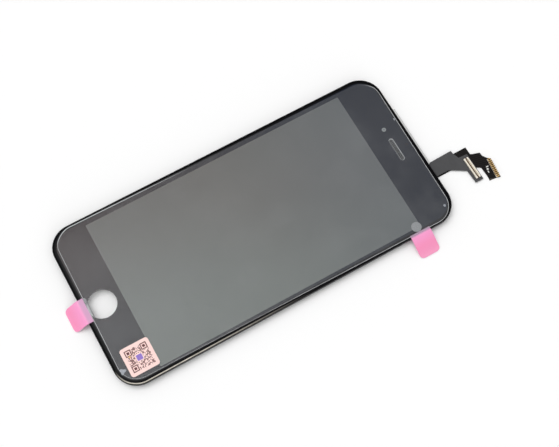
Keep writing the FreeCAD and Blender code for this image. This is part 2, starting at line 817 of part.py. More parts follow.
def makeEarpieceEnd():
    mesh = newBody("earpiece_mesh")
    flange = newSketch(mesh, "flange", webTop - size("mesh_sheet"))
    drawSlot(flange, size("slot_length") + size("mesh_flange") * 2,
             size("slot_width") + size("mesh_flange") * 2, zero, earpieceY)
    pad(mesh, flange, size("mesh_sheet"))
    crown = newSketch(mesh, "crown", webTop)
    gap = size("mesh_clearance") * 2
    drawSlot(crown, size("slot_length") - gap, size("slot_width") - gap, zero, earpieceY)
    pad(mesh, crown, size("mesh_rise"))
    holes = newSketch(mesh, "holes")
    start = (size("mesh_columns") - 1) * size("mesh_pitch") / 2
    for row in (-1, 0, 1):
        drawRectangle(holes, size("mesh_hole"), size("mesh_hole"), None, -start,
                      earpieceY + size("mesh_pitch") * row)
    cut = pocket(mesh, holes)
    repeatAlongX(mesh, cut, size("mesh_columns"), size("mesh_pitch"))

    ring = newBody("camera_ring")
    outline = newSketch(ring, "outline", webTop - size("camera_ring_depth"))
    drawCircle(outline, size("camera_ring_radius"), cameraX, earpieceY)
    drawCircle(outline, size("camera_ring_bore"), cameraX, earpieceY)
    base = pad(ring, outline, size("camera_ring_depth"))
    doc.recompute()

    low = (webTop - size("camera_ring_depth")).number
    names = [name for name in wireEdgeNames(base.Shape, low, everywhere)
             if base.Shape.getElement(name).Curve.Radius < size("camera_ring_radius").number]
    dressEdges(ring, "Chamfer", base, names, Size=size("camera_ring_chamfer"))

    holder = newBody("sensor_holder")
    block = newSketch(holder, "outline", webTop - size("sensor_depth"))
    drawRectangle(block, size("sensor_width"), size("sensor_length"), None, zero,
                  sensorY)
    drawCircle(block, size("sensor_window"), zero, sensorY)
    pad(holder, block, size("sensor_depth"))


# Flexes: bonded to the ledge, folded behind the tray, then led out through the frame's channel.

bondStart = ledgeEdge - size("bond_depth")
foldCentre = ledgeEdge + size("fold_stand")
padLow = trayLength / 2 - size("rear_pad_depth")
shoulder = frameEnd + size("shoulder_reach")
displayPadLeft = size("display_neck_left") + size("display_pad_shift")
displayPadLow = shoulder + size("display_pad_reach")
touchStep = shoulder + size("touch_step_reach")
touchHeadLeft = touchNeckLeft + size("touch_head_shift")
touchHeadHigh = touchStep + size("touch_head_rise")


def drawFold(sketch, level):
    """Section of a folded flex: bonded run, half turn round the tray's edge, run beneath it."""
    sheetSize = size("flex_sheet")
    bondLevel = under("filter_plate")
    inner = (bondLevel - level - sheetSize) / 2
    outer = inner + sheetSize
    middle = level + sheetSize + inner
    vector = FreeCAD.Vector
    y, z = foldCentre.number, middle.number
    bond, low = bondStart.number, (foldCentre - size("bond_depth")).number
    r, big = inner.number, outer.number
    quarter = math.pi / 2
    centre = vector(y, z, 0)

    def line(x1, y1, x2, y2):
        return sketch.addGeometry(Part.LineSegment(vector(x1, y1, 0), vector(x2, y2, 0)), False)

    def arc(radius):
        circle = Part.Circle(centre, vector(0, 0, 1), radius)
        return sketch.addGeometry(Part.ArcOfCircle(circle, -quarter, quarter), False)

    topOuter = line(bond, z + big, y, z + big)
    outerArc = arc(big)
    lowOuter = line(y, z - big, low, z - big)
    lowEnd = line(low, z - big, low, z - r)
    lowInner = line(low, z - r, y, z - r)
    innerArc = arc(r)
    topInner = line(y, z + r, bond, z + r)
    topEnd = line(bond, z + r, bond, z + big)
    joints = [(topOuter, 2, outerArc, 2), (outerArc, 1, lowOuter, 1), (lowOuter, 2, lowEnd, 1),
              (lowEnd, 2, lowInner, 1), (lowInner, 2, innerArc, 1), (innerArc, 2, topInner, 1),
              (topInner, 2, topEnd, 1), (topEnd, 2, topOuter, 1)]
    for joint in joints:
        sketch.addConstraint(Sketcher.Constraint("Coincident", *joint))
    for flat in (topOuter, lowOuter, lowInner, topInner):
        sketch.addConstraint(Sketcher.Constraint("Horizontal", flat))
    for end in (lowEnd, topEnd):
        sketch.addConstraint(Sketcher.Constraint("Vertical", end))
    sketch.addConstraint(Sketcher.Constraint("Coincident", outerArc, 3, innerArc, 3))
    for bend in (outerArc, innerArc):
        for tip in (1, 2):
            sketch.addConstraint(Sketcher.Constraint("Vertical", bend, tip, bend, 3))
    placePoint(sketch, outerArc, 3, foldCentre, middle)
    setRadius(sketch, outerArc, outer)
    setRadius(sketch, innerArc, inner)
    for geometry, across in ((topEnd, bondStart), (lowEnd, foldCentre - size("bond_depth"))):
        index = sketch.addConstraint(
            Sketcher.Constraint("DistanceX", -1, 1, geometry, 1, across.number))
        bind(sketch, f"Constraints[{index}]", across)


def makeFlex(label, level, outline, foldLeft, foldWidth):
    body = newBody(label)
    flat = newSketch(body, "outline", level)
    drawOutline(flat, outline)
    pad(body, flat, size("flex_sheet"))
    fold = newSketch(body, "fold", foldLeft, "YZ_Plane")
    drawFold(fold, level)
    pad(body, fold, foldWidth)
    return body


def displayFlexOutline():
    left = size("display_neck_left")
    right = left + size("display_neck_width")
    tip = shoulder + size("display_tip_reach")
    lean = size("display_tip_lean")
    skew = size("display_pad_skew")
    padLeft = displayPadLeft
    padRight = padLeft + size("display_pad_width")
    low = displayPadLow
    high = low + size("display_pad_depth")
    elbow = padLeft + size("display_elbow_shift")
    foldLeft = -size("display_fold_left")
    foldRight = foldLeft + size("display_fold_width")
    root = foldCentre - size("bond_depth") / 2
    neckRoot = root - size("bond_depth")
    return [(foldLeft, padLow), (right, padLow), (right, shoulder),
            (elbow, low - size("display_elbow_drop")), (padRight, low), (padRight, high),
            (padLeft, high), (padLeft - skew, low - skew),
            (left + lean, tip + size("display_tip_rise")), (left - lean, tip), (left, neckRoot),
            (foldRight, neckRoot), (foldRight, root), (foldLeft, root)]


def touchFlexOutline():
    left, right = touchNeckLeft, touchNeckRight
    step = touchStep
    stepLeft = left + size("touch_step_shift")
    armLeft = left + size("touch_arm_shift")
    arm = step + size("touch_arm_rise")
    headLeft, headHigh = touchHeadLeft, touchHeadHigh
    angle = math.radians(size("touch_head_turn").number)
    cosine = Size(math.cos(angle), "cos(sizes.touch_head_turn * 1 deg)")
    sine = Size(math.sin(angle), "sin(sizes.touch_head_turn * 1 deg)")
    width, depth = size("touch_head_width"), size("touch_head_depth")
    headRight = headLeft + width * cosine
    headDrop = headHigh - width * sine
    foldLeft = touchFoldLeft
    foldRight = foldLeft + size("touch_fold_width")
    root = foldCentre - size("bond_depth") / 2
    neckRoot = padLow + size("touch_root_depth")
    return [(foldLeft, padLow), (right, padLow), (right, shoulder + size("touch_bend_reach")),
            (headLeft + size("touch_inner_run"), step + size("touch_inner_rise")),
            (headLeft + size("touch_skirt_run"), headHigh - depth - size("touch_skirt_drop")),
            (headRight - size("touch_head_taper"),
             headDrop - depth * cosine + size("touch_head_trim")),
            (headRight, headDrop), (headLeft, headHigh),
            (headLeft - size("touch_notch_run"), headHigh - size("touch_notch_drop")),
            (armLeft + size("touch_arm_width"), arm), (armLeft, arm - size("touch_arm_drop")),
            (stepLeft + size("touch_slope_run"), step + size("touch_slope_rise")),
            (stepLeft, step), (left, step - size("touch_step_drop")), (left, neckRoot),
            (foldRight, neckRoot), (foldRight, root), (foldLeft, root)]


def makeStiffener(label, level, length, depth, x, y, turn):
    body = newBody(label)
    sketch = newSketch(body, "outline", level - size("stiffener_sheet"))
    drawRectangle(sketch, length, depth)
    pad(body, sketch, size("stiffener_sheet"))
    placeBody(body, x, y, turn)


def placeBody(body, x, y, turn=None):
    bind(body, "Placement.Base.x", x)
    bind(body, "Placement.Base.y", y)
    if turn is not None:
        body.Placement.Rotation = FreeCAD.Rotation(FreeCAD.Vector(0, 0, 1), 1)
        bind(body, "Placement.Rotation.Angle", turn)


# Board connectors: a trough moulding, and a row of sprung contacts hooked over each long wall.

def makeConnector(name, level, count, x, y, turn):
    top = level + size("flex_sheet")
    run = (count - 1) * size("contact_pitch")
    length = run + size("contact_pitch") * 2 + size("end_block") * 2
    wall = size("wall_thick")
    trough = size(f"{name}_trough")
    width = trough + wall * 2
    housing = newBody(f"{name}_connector")
    outline = newSketch(housing, "outline", top)
    drawRectangle(outline, length, width)
    pad(housing, outline, size("wall_height"))
    hollow = newSketch(housing, "trough", top + size("floor_thick"))
    drawRectangle(hollow, length - size("end_block") * 2, trough)
    pocket(housing, hollow, size("wall_height"))
    placeBody(housing, x, y, turn)

    contacts = newBody(f"{name}_contacts")
    section = newSketch(contacts, "section", -run / 2 - size("contact_width") / 2, "YZ_Plane")
    high = top + size("wall_height")
    sheetSize = size("contact_sheet")
    leg = high - size("contact_leg")
    for side in (-1, 1):
        inner = trough / 2 * side
        outer = (trough / 2 + wall) * side
        thick = sheetSize * side
        drawOutline(section, [(inner - thick, leg), (inner, leg), (inner, high), (outer, high),
                              (outer, leg), (outer + thick, leg), (outer + thick, high + sheetSize),
                              (inner - thick, high + sheetSize)])
    first = pad(contacts, section, size("contact_width"))
    repeatAlongX(contacts, first, count, size("contact_pitch"))
    placeBody(contacts, x, y, turn)


def makeFlexes():
    displayFold = size("display_fold_width")
    makeFlex("display_flex", displayLevel, displayFlexOutline(), -size("display_fold_left"),
             displayFold)
    makeFlex("touch_flex", touchLevel, touchFlexOutline(), touchFoldLeft,
             size("touch_fold_width"))
    displayX = displayPadLeft + size("display_connector_shift")
    displayY = displayPadLow + size("display_connector_rise")
    displayTurn = size("display_connector_turn")
    touchX = touchHeadLeft + size("touch_connector_shift")
    touchY = touchHeadHigh - size("touch_connector_drop")
    touchTurn = -size("touch_head_turn")
    makeStiffener("display_stiffener", displayLevel, size("display_stiffener_length"),
                  size("display_stiffener_depth"), displayX, displayY, displayTurn)
    makeStiffener("touch_stiffener", touchLevel, size("touch_stiffener_length"),
                  size("touch_stiffener_depth"), touchX,
                  touchY - size("touch_stiffener_setback"), touchTurn)
    makeConnector("display", displayLevel, size("display_contacts"), displayX, displayY,
                  displayTurn)
    makeConnector("touch", touchLevel, size("touch_contacts"), touchX, touchY, touchTurn)

    tape = newBody("rear_flex_tape")
    sketch = newSketch(tape, "outline", touchLevel - size("tape_sheet"))
    left = size("tape_side_inset") - trayWidth / 2
    right = touchNeckRight + size("tape_margin")
    low = trayLength / 2 - size("tape_low_inset")
    high = trayLength / 2 - size("tape_high_inset")
    drawOutline(sketch, [(left, low), (right, low), (right, high), (left, high)])
    pad(tape, sketch, size("tape_sheet"))

    chip = newBody("touch_chip")
    chipSketch = newSketch(chip, "outline", touchLevel + size("flex_sheet"))
    drawRectangle(chipSketch, size("touch_chip_size"), size("touch_chip_size"), None,
                  touchFoldLeft + size("touch_fold_width") / 2, padLow + size("touch_chip_size"))
    pad(chip, chipSketch, size("touch_chip_height"))
    capacitors = newBody("flex_capacitors")
    capSketch = newSketch(capacitors, "first", displayLevel - size("capacitor_height"))
    drawRectangle(capSketch, size("capacitor_length"), size("capacitor_width"), None,
                  -size("capacitor_start"), padLow + size("capacitor_inset"))
    first = pad(capacitors, capSketch, size("capacitor_height"))
    repeatAlongX(capacitors, first, size("capacitor_count"), size("capacitor_pitch"))


# Metal fittings: side brackets with screw ears, the hook plate and two screw plates.

def makeFittings():
    for name, sign in (("left", -1), ("right", 1)):
        body = newBody(f"{name}_bracket")
        strip = newSketch(body, "strip")
        width = size("bracket_width")
        middle = (openingHalf + size("bracket_inner_gap") + width / 2) * sign
        drawRectangle(strip, width, size("bracket_length"), None, middle, zero)
        pad(body, strip, size("bracket_sheet"))
        ears = newSketch(body, "ears")
        root = (openingHalf + size("bracket_inner_gap") + width / 2) * sign
        reach = (openingHalf - size("ear_reach")) * sign
        for side in (-1, 1):
            low = size("ear_spacing") / 2 * side - size("ear_width") / 2
            high = low + size("ear_width")
            drawOutline(ears, [(root, low), (reach, low, size("ear_round")),
                               (reach, high, size("ear_round")), (root, high)])
            drawCircle(ears, size("ear_hole"), (openingHalf - size("ear_hole_inset")) * sign,
                       size("ear_spacing") / 2 * side)
        pad(body, ears, size("bracket_sheet"))

    hook = newBody("hook_plate")
    outline = newSketch(hook, "outline", webBottom - size("hook_sheet"))
    left = -size("hook_left")
    right = left + size("hook_width")
    tip = frameEnd + size("hook_reach")
    root = tip - size("hook_depth")
    slope = size("hook_slope")
    drawOutline(outline, [(left, root), (right, root), (right, tip - slope),
                          (right - slope, tip), (left + slope, tip), (left, tip - slope)])
    pad(hook, outline, size("hook_sheet"))

    plates = newBody("screw_plates")
    sketch = newSketch(plates, "outline", webBottom - size("plate_sheet"))
    for side in (-1, 1):
        across = size("plate_spacing") / 2 * side
        drawRectangle(sketch, size("plate_width"), size("plate_length"), size("plate_round"),
                      across, plateY)
        drawCircle(sketch, size("plate_hole"), across, plateY)
    pad(plates, sketch, size("plate_sheet"))


# Protective film with its code label, adhesive dots and the two pull tabs.

def makeFilm():
    film = newBody("protective_film")
    sketch = newSketch(film, "outline", glassTop)
    shiftX, shiftY = size("film_shift_x"), size("film_shift_y")
    drawRectangle(sketch, frameWidth - size("film_side_inset") * 2,
                  frameLength - size("film_end_inset") * 2, size("film_corner"))
    angle = math.radians(size("film_turn").number)
    cosine = Size(math.cos(angle), "cos(sizes.film_turn * 1 deg)")
    sine = Size(math.sin(angle), "sin(sizes.film_turn * 1 deg)")
    holeX, holeY = -shiftX, homeY - shiftY
    drawCircle(sketch, size("home_radius") + size("film_clearance"),
               holeX * cosine - holeY * sine, holeX * sine + holeY * cosine)
    pad(film, sketch, size("film_sheet"))
    placeBody(film, shiftX, shiftY, -size("film_turn"))

    filmTop = glassTop + size("film_sheet")
    label = newBody("code_label")
    labelSketch = newSketch(label, "outline", filmTop)
    drawRectangle(labelSketch, size("label_side"), size("label_side"), size("label_corner"))
    pad(label, labelSketch, size("label_sheet"))
    placeBody(label, frameSide - size("label_side_inset"), size("label_end_inset") - frameEnd)

    sideTabY = frameEnd - size("side_tab_inset")
    endTabX = -size("end_tab_x")
    dots = newBody("adhesive_dots")
    dotSketch = newSketch(dots, "outline", filmTop)
    drawCircle(dotSketch, size("side_dot_radius"), frameSide - size("side_dot_inset"),
               sideTabY - size("side_dot_drop"))
    drawCircle(dotSketch, size("end_dot_radius"), endTabX - size("end_dot_shift"),
               size("end_dot_inset") - frameEnd)
    pad(dots, dotSketch, size("dot_sheet"))
    hidden = newSketch(dots, "under_tab", filmTop)
    near = size("end_tab_lap") + size("end_dot_clearance") - frameEnd
    far = near - size("end_dot_radius") * 2
    reach = size("end_tab_width") / 2
    drawOutline(hidden, [(endTabX - reach, far), (endTabX + reach, far),
                         (endTabX + reach, near), (endTabX - reach, near)])
    pocket(dots, hidden, size("dot_sheet"))

    makeTab("side_pull_tab", "XZ_Plane", frameSide, size("side_tab_lap"), size("side_tab_reach"),
            sideTabY, size("side_tab_width"), 1)
    makeTab("end_pull_tab", "YZ_Plane", frameEnd, size("end_tab_lap"), size("end_tab_reach"),
            endTabX, size("end_tab_width"), -1)


def makeTab(label, role, rim, lap, reach, centre, width, sign):
    """Thin strip that lies on the film, passes over the rim and slopes down to the back plane."""
    body = newBody(label)
    alongX = role == "XZ_Plane"
    inner, outer = rim - lap, rim + reach
    thick = size("tab_sheet")
    high = glassTop + size("film_sheet")
    low = size("tab_rest")
    bend = rim + size("tab_stand")
    offset = -(centre + width / 2) if alongX else centre - width / 2
    section = newSketch(body, "section", offset, role)
    drawOutline(section, [(inner * sign, high), (bend * sign, high), (outer * sign, low),
                          (outer * sign, low + thick), (bend * sign, high + thick),
                          (inner * sign, high + thick)])
    strip = pad(body, section, width)
    doc.recompute()

    def bendEdges(shape, height):
        names = wireEdgeNames(shape, height.number, everywhere)
        return [name for name in names
                if abs(abs(shape.getElement(name).CenterOfMass[0 if alongX else 1])
                       - bend.number) < 0.01]

    inside = dressEdges(body, "Fillet", strip, bendEdges(strip.Shape, high), Radius=size("tab_bend"))
    outerEdges = bendEdges(inside.Shape, high + thick)
    dressEdges(body, "Fillet", inside, outerEdges, Radius=size("tab_bend") + thick)

    trim = newSketch(body, "trim")
    margin = size("tab_stand")
    near, far = (inner - margin) * sign, outer * sign
    beyond = (outer + margin) * sign
    left, right = centre - width / 2, centre + width / 2
    outside = [(near, left - margin), (beyond, left - margin), (beyond, right + margin),
               (near, right + margin)]
    kept = [(near + margin / 2 * sign, left), (far, left, size("tab_corner")),
            (far, right, size("tab_corner")), (near + margin / 2 * sign, right)]
    for loop in (outside, kept):
        drawOutline(trim, loop if alongX else [(c[1], c[0]) + tuple(c[2:]) for c in loop])
    pocket(body, trim)


makeFrame()
makeGlass()
makePrint()
makePanel()
makeBacklight()
makeEarpieceEnd()
makeFlexes()
makeFittings()
makeFilm()
doc.recompute()

for item in doc.Objects:
    if "Invalid" in item.State or "Error" in item.State:
        raise ValueError(f"{item.Name} is {item.State}")
for body in partBodies:
    shape = body.Shape
    if shape.isNull() or not shape.isValid() or not shape.Solids:
        raise ValueError(f"{body.Label} has no valid shape")
for body in partBodies:
    body.Shape.exportStep(f"parts/{body.Label}.step")
    box = body.Shape.BoundBox
    print(f"{body.Label}: {len(body.Shape.Solids)} solids, x {box.XMin:.2f} to {box.XMax:.2f}, "
          f"y {box.YMin:.2f} to {box.YMax:.2f}, z {box.ZMin:.2f} to {box.ZMax:.2f}")
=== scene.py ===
import bmesh
import bpy
import json
import math
import numpy as np
from mathutils import Matrix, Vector
from mathutils.geometry import tessellate_polygon


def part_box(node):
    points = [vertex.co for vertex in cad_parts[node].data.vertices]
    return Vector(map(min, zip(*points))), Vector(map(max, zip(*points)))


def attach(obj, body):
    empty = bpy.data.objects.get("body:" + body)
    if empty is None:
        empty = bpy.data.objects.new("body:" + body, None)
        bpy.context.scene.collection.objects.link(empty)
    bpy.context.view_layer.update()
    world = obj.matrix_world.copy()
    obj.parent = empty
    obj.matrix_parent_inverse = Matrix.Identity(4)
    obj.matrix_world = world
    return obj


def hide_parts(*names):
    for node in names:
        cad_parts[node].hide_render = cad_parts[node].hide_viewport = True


# Looks of a phone display assembly. Sizes are in millimetres and become metres in makePiece.
# X is across the screen, Y runs to the earpiece end, and +Z points out of the screen.

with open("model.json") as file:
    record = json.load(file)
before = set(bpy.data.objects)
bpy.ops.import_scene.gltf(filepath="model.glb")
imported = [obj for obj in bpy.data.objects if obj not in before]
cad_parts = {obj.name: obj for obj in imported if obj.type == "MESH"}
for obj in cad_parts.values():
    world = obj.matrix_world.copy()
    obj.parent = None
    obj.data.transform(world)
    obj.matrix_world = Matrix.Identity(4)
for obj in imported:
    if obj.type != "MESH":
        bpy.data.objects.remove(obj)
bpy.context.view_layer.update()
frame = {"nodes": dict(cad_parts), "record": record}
mm = 0.001
nodes = frame["nodes"]
print("frame loaded:", len(nodes), "nodes")


def boxOf(node):
    low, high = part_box(node)
    return np.array(low) / mm, np.array(high) / mm


def middleOf(node):
    low, high = boxOf(node)
    return tuple((low + high)[:2] / 2)


frameLow, frameHigh = boxOf("mid_frame")

# Home-button hole, through the glass, the film and the frame
home = {
    "fromEnd": 7.2,
    "radius": 5.3,
    # painted light: the pale paint on the black frame and on its wall lifts the shade inside the
    # hole
    "paintedLightPast": 1.2,  # the frame is painted pale this far past it, and so is its wall
}
homeCentre = (0.0, frameLow[1] + home["fromEnd"])


# Shader maths

# A socket that can be used in sums: each operator adds its Math node.
class Wire:
    def __init__(self, tree, socket):
        self.tree = tree
        self.socket = socket

    def __add__(self, other):
        return self.tree.math("ADD", self, other)

    __radd__ = __add__

    def __sub__(self, other):
        return self.tree.math("SUBTRACT", self, other)

    def __rsub__(self, other):
        return self.tree.math("SUBTRACT", other, self)

    def __mul__(self, other):
        return self.tree.math("MULTIPLY", self, other)

    __rmul__ = __mul__

    def __truediv__(self, other):
        return self.tree.math("DIVIDE", self, other)

    def __pow__(self, other):
        return self.tree.math("POWER", self, other)

    def __abs__(self):
        return self.tree.math("ABSOLUTE", self)

    def __gt__(self, other):
        return self.tree.math("GREATER_THAN", self, other)

    def __lt__(self, other):
        return self.tree.math("LESS_THAN", self, other)


# A node tree, with one method for any node.
class NodeTree:
    def __init__(self, tree):
        self.tree = tree

    def fill(self, socket, value):
        if isinstance(value, Wire):
            self.tree.links.new(value.socket, socket)
        elif socket.type == "RGBA" and len(value) == 3:
            socket.default_value = (*value, 1)
        else:
            socket.default_value = value

    def node(self, kind, settings=None, values=None, output=0):
        made = self.tree.nodes.new(kind)
        for name, value in (settings or {}).items():
            setattr(made, name, value)
        for name, value in (values or {}).items():
            self.fill(made.inputs[name], value)
        return Wire(self, made.outputs[output])

    def math(self, operation, *values):
        return self.node("ShaderNodeMath", {"operation": operation}, dict(enumerate(values)))


# A material and short names for what its patterns need. Its place is in millimetres.
class Finish(NodeTree):
    def __init__(self, name, constants=None):
        self.material = bpy.data.materials.new(name)
        self.material.use_nodes = True
        super().__init__(self.material.node_tree)
        self.shader = self.tree.nodes["Principled BSDF"]
        for socket, value in (constants or {}).items():
            self.put(socket, value)
        place = self.node("ShaderNodeTexCoord", output="Object")
        self.place = self.node("ShaderNodeVectorMath", {"operation": "SCALE"},
                               {0: place, "Scale": 1 / mm})
        self.x = self.node("ShaderNodeSeparateXYZ", {}, {0: self.place}, "X")
        self.y = self.node("ShaderNodeSeparateXYZ", {}, {0: self.place}, "Y")

    def put(self, socket, value):
        self.fill(self.shader.inputs[socket], value)

    # 0 below low, 1 above high, and an S-shaped rise between them
    def rise(self, value, low, high):
        return self.node("ShaderNodeMapRange", {"interpolation_type": "SMOOTHSTEP"},
                         {"Value": value, "From Min": low, "From Max": high}, "Result")

    # the reverse: 1 below low and 0 above high
    def fall(self, value, low, high):
        return 1 - self.rise(value, low, high)

    def mix(self, share, first, second):
        settings = {"data_type": "RGBA", "clamp_factor": True}
        return self.node("ShaderNodeMix", settings, {0: share, 6: first, 7: second}, 2)

    # mix of two colours that are written as they show on a screen
    def tone(self, share, first, second):
        return self.mix(share, screen(*first), screen(*second))

    # one such colour laid over what is there, as far as share says
    def paint(self, under, share, levels):
        return self.mix(share, under, screen(*levels))

    # cloudy pattern with spots of the given size, stretched along an axis by a factor
    def noise(self, size, detail=3.0, rough=0.55, stretch=(1, 1, 1), shift=(0, 0, 0)):
        scale = [1 / (size * factor) for factor in stretch]
        place = self.node("ShaderNodeMapping", {},
                          {"Vector": self.place, "Scale": scale, "Location": shift})
        values = {"Vector": place, "Scale": 1.0, "Detail": detail, "Roughness": rough}
        return self.node("ShaderNodeTexNoise", {}, values, "Fac")

    # distance from the nearest point of an even grid, as a share of its pitch
    def gridPoints(self, pitch):
        values = {"Vector": self.place, "Scale": 1 / pitch, "Randomness": 0.0}
        return self.node("ShaderNodeTexVoronoi", {"feature": "F1"}, values, "Distance")

    # random number that stays the same over each whole step of its two inputs
    def lottery(self, across, along):
        both = self.node("ShaderNodeCombineXYZ", {}, {0: across, 1: along})
        return self.node("ShaderNodeTexWhiteNoise", {"noise_dimensions": "2D"}, {"Vector": both},
                         "Value")

    # distance from the middle of a lane that is one wide, 0 to 0.5
    def lane(self, value):
        return abs(self.math("FRACT", value) - 0.5)

    # place across and along a piece that stands at a centre, turned by an angle
    def local(self, centre, turn=0.0):
        dx, dy = self.x - centre[0], self.y - centre[1]
        if turn == 0.0:
            return dx, dy
        c, s = math.cos(turn), math.sin(turn)
        return dx * c + dy * s, dy * c - dx * s

    # signed distance from the edge of a rounded rectangle, negative inside, for a place across
    # and along it: the distance from its inset corners, or from its nearest side
    def away(self, place, half, corner):
        dx = abs(place[0]) - (half[0] - corner)
        dy = abs(place[1]) - (half[1] - corner)
        outer = (self.math("MAXIMUM", dx, 0) ** 2 + self.math("MAXIMUM", dy, 0) ** 2) ** 0.5
        inner = self.math("MINIMUM", self.math("MAXIMUM", dx, dy), 0)
        return outer + inner - corner

    def awayFromCircle(self, centre, radius):
        return self.away(self.local(centre), (radius, radius), radius)

    # 1 inside a rounded rectangle and 0 outside, with a blurred edge
    def plate(self, centre, half, corner, blur=0.04):
        return self.fall(self.away(self.local(centre), half, corner), -blur, blur)

    def bump(self, height, strength, distance=0.02):
        values = {"Height": height, "Strength": strength, "Distance": distance * mm}
        self.put("Normal", self.node("ShaderNodeBump", {}, values))


# Colour written as it shows on a screen, 0 to 255, turned into the linear value a shader takes
# by the standard curve of a screen.
def screen(*levels):
    shares = np.array(levels) / 255
    return tuple(np.where(shares <= 0.04045, shares / 12.92, ((shares + 0.055) / 1.055) ** 2.4))


# Plain finishes

def mouldedBlack():
    f = Finish("moulded_black", {"Specular IOR Level": 0.22})
    grain = f.noise(0.12, 2)
    cloud = f.noise(9, 3)
    black = f.tone(cloud, (13, 13, 14), (23, 23, 25))
    # Painted light: the black frame round the home-button hole, its wall too, is painted pale to
    # lift the shade inside the hole.
    reach = home["radius"] + home["paintedLightPast"]
    paintedLightWall = f.plate(homeCentre, (reach, reach), reach)
    f.put("Base Color", f.paint(black, paintedLightWall, (196, 196, 196)))
    f.put("Roughness", 0.28 + 0.2 * cloud + 0.08 * grain)
    f.bump(grain, 0.35)
    return f.material


def mouldedWhite():
    f = Finish("moulded_white", {"Subsurface Weight": 0.1, "Subsurface Scale": 0.0005})
    grain = f.noise(0.15, 2)
    f.put("Base Color", f.tone(f.noise(6), (232, 232, 228), (244, 243, 238)))
    f.put("Roughness", 0.42 + 0.15 * grain)
    f.bump(grain, 0.2)
    return f.material


def borderInk():
    f = Finish("border_ink")
    f.put("Base Color", f.tone(f.noise(4), (14, 14, 16), (24, 24, 27)))
    f.put("Roughness", 0.35 + 0.2 * f.noise(0.3))
    f.bump(f.noise(0.1), 0.1)
    return f.material


# Both panel glasses: fine columns of pixels, and a paler ledge where the lower one stands out
# past the upper one.
def panelGlass():
    f = Finish("panel_glass", {"IOR": 1.5, "Coat Weight": 0.5, "Coat Roughness": 0.05})
    pixel = 0.08
    ledgeStart = boxOf("colour_filter_glass")[1][1]
    stripe = f.rise(f.lane(f.x / pixel), 0.1, 0.3)
    onLedge = f.rise(f.y, ledgeStart, ledgeStart + 0.1)
    glassTone = f.tone(stripe, (58, 62, 70), (72, 78, 84))
    f.put("Base Color", f.paint(glassTone, onLedge, (120, 128, 120)))
    f.put("Roughness", 0.08 + 0.25 * stripe * onLedge)
    return f.material


def polariser():
    f = Finish("polariser", {"Coat Weight": 0.4, "Coat Roughness": 0.1})
    f.put("Base Color", f.tone(f.noise(20), (62, 65, 68), (74, 76, 77)))
    f.put("Roughness", 0.2 + 0.15 * f.noise(0.4))
    f.bump(f.noise(0.2), 0.05)
    return f.material


def clearAdhesive():
    f = Finish("clear_adhesive", {"Coat Weight": 0.3})
    f.put("Base Color", f.tone(f.noise(5), (226, 226, 218), (238, 237, 228)))
    f.put("Alpha", 0.3 + 0.12 * f.noise(1.5))
    f.put("Roughness", 0.15 + 0.2 * f.noise(1.2))
    return f.material


def opticalFilm():
    f = Finish("optical_film", {"Coat Weight": 0.3, "Coat Roughness": 0.2})
    ridgePitch = 0.1
    f.put("Base Color", f.tone(f.noise(12), (214, 217, 220), (232, 234, 236)))
    f.put("Roughness", 0.25 + 0.2 * f.noise(0.8))
    f.bump(f.lane(f.x / ridgePitch), 0.4, 0.03)
    return f.material


def lightGuide():
    f = Finish("light_guide", {"IOR": 1.49, "Coat Weight": 0.6})
    dotPitch = 0.45
    dots = f.fall(f.gridPoints(dotPitch), 0.1, 0.22)
    f.put("Base Color", f.tone(dots, (214, 222, 226), (245, 247, 248)))
    f.put("Roughness", 0.08 + 0.4 * dots)
    f.bump(dots, 0.3)
    return f.material


steels = {
    "tray_steel": {"dark": (158, 158, 158), "light": (180, 180, 178), "rough": 0.3,
                   "streaks": (1, 60, 1)},
    "fitting_steel": {"dark": (176, 176, 176), "light": (198, 198, 196), "rough": 0.22,
                      "streaks": (60, 1, 1)},
}


# Rolled steel: fine streaks along one axis, clouds, and a few faint rubbed spots
def sheetSteel(name):
    steel = steels[name]
    f = Finish(name, {"Anisotropic": 0.3})
    streak = f.noise(0.12, 3, 0.6, steel["streaks"])
    cloud = f.noise(11, 4)
    rubbed = f.rise(f.noise(3.5, 5, shift=(7, 3, 1)), 0.56, 0.7)
    f.put("Base Color", f.tone(streak * 0.6 + cloud * 0.4, steel["dark"], steel["light"]))
    f.put("Metallic", 0.95 - 0.15 * rubbed)
    f.put("Roughness", steel["rough"] + 0.16 * streak + 0.12 * rubbed)
    f.bump(streak, 0.18)
    return f.material


# Flat flexes: the traces start at left and fill the neck's width up to the shoulder, past which
# they fan out by spread for each millimetre. A bar is its centre and half its two sides.
flexes = {
    "flex_grey": {"dark": (52, 52, 54), "light": (68, 68, 70), "shine": 0.35, "left": 10.15,
                  "width": 5.6, "spread": 0.62, "traces": 16, "bars": []},
    "flex_black": {"dark": (7, 6, 7), "light": (20, 17, 17), "shine": 0.1, "left": 10.95,
                   "width": 5.2, "spread": 0.35, "traces": 12,
                   "bars": [((21.4, 86.7), (0.2, 0.5)), ((22.3, 86.35), (0.34, 0.34)),
                            ((23.35, 86.0), (0.42, 0.18))]},
}
flexShoulder = frameHigh[1] + 5.75


# Laminated circuit: raised traces a little paler than the rest, and plain white bars printed
# by the plug
def flexFinish(name):
    flex = flexes[name]
    f = Finish(name, {"Specular IOR Level": flex["shine"]})
    opened = f.math("MAXIMUM", f.y - flexShoulder, 0) * flex["spread"] + flex["width"]
    trace = f.rise(f.lane((f.x - flex["left"]) / opened * flex["traces"]), 0.2, 0.32)
    cloud = f.noise(2.5, 4)
    colour = f.tone(cloud, flex["dark"], flex["light"])
    colour = f.paint(colour, trace * 0.35, [level + 22 for level in flex["light"]])
    for centre, half in flex["bars"]:
        colour = f.paint(colour, f.plate(centre, half, 0.05), (226, 226, 222))
    f.put("Base Color", colour)
    f.put("Roughness", 0.36 + 0.12 * cloud + 0.06 * trace)
    f.bump(trace + 0.3 * f.noise(0.25), 0.5, 0.015)
    return f.material


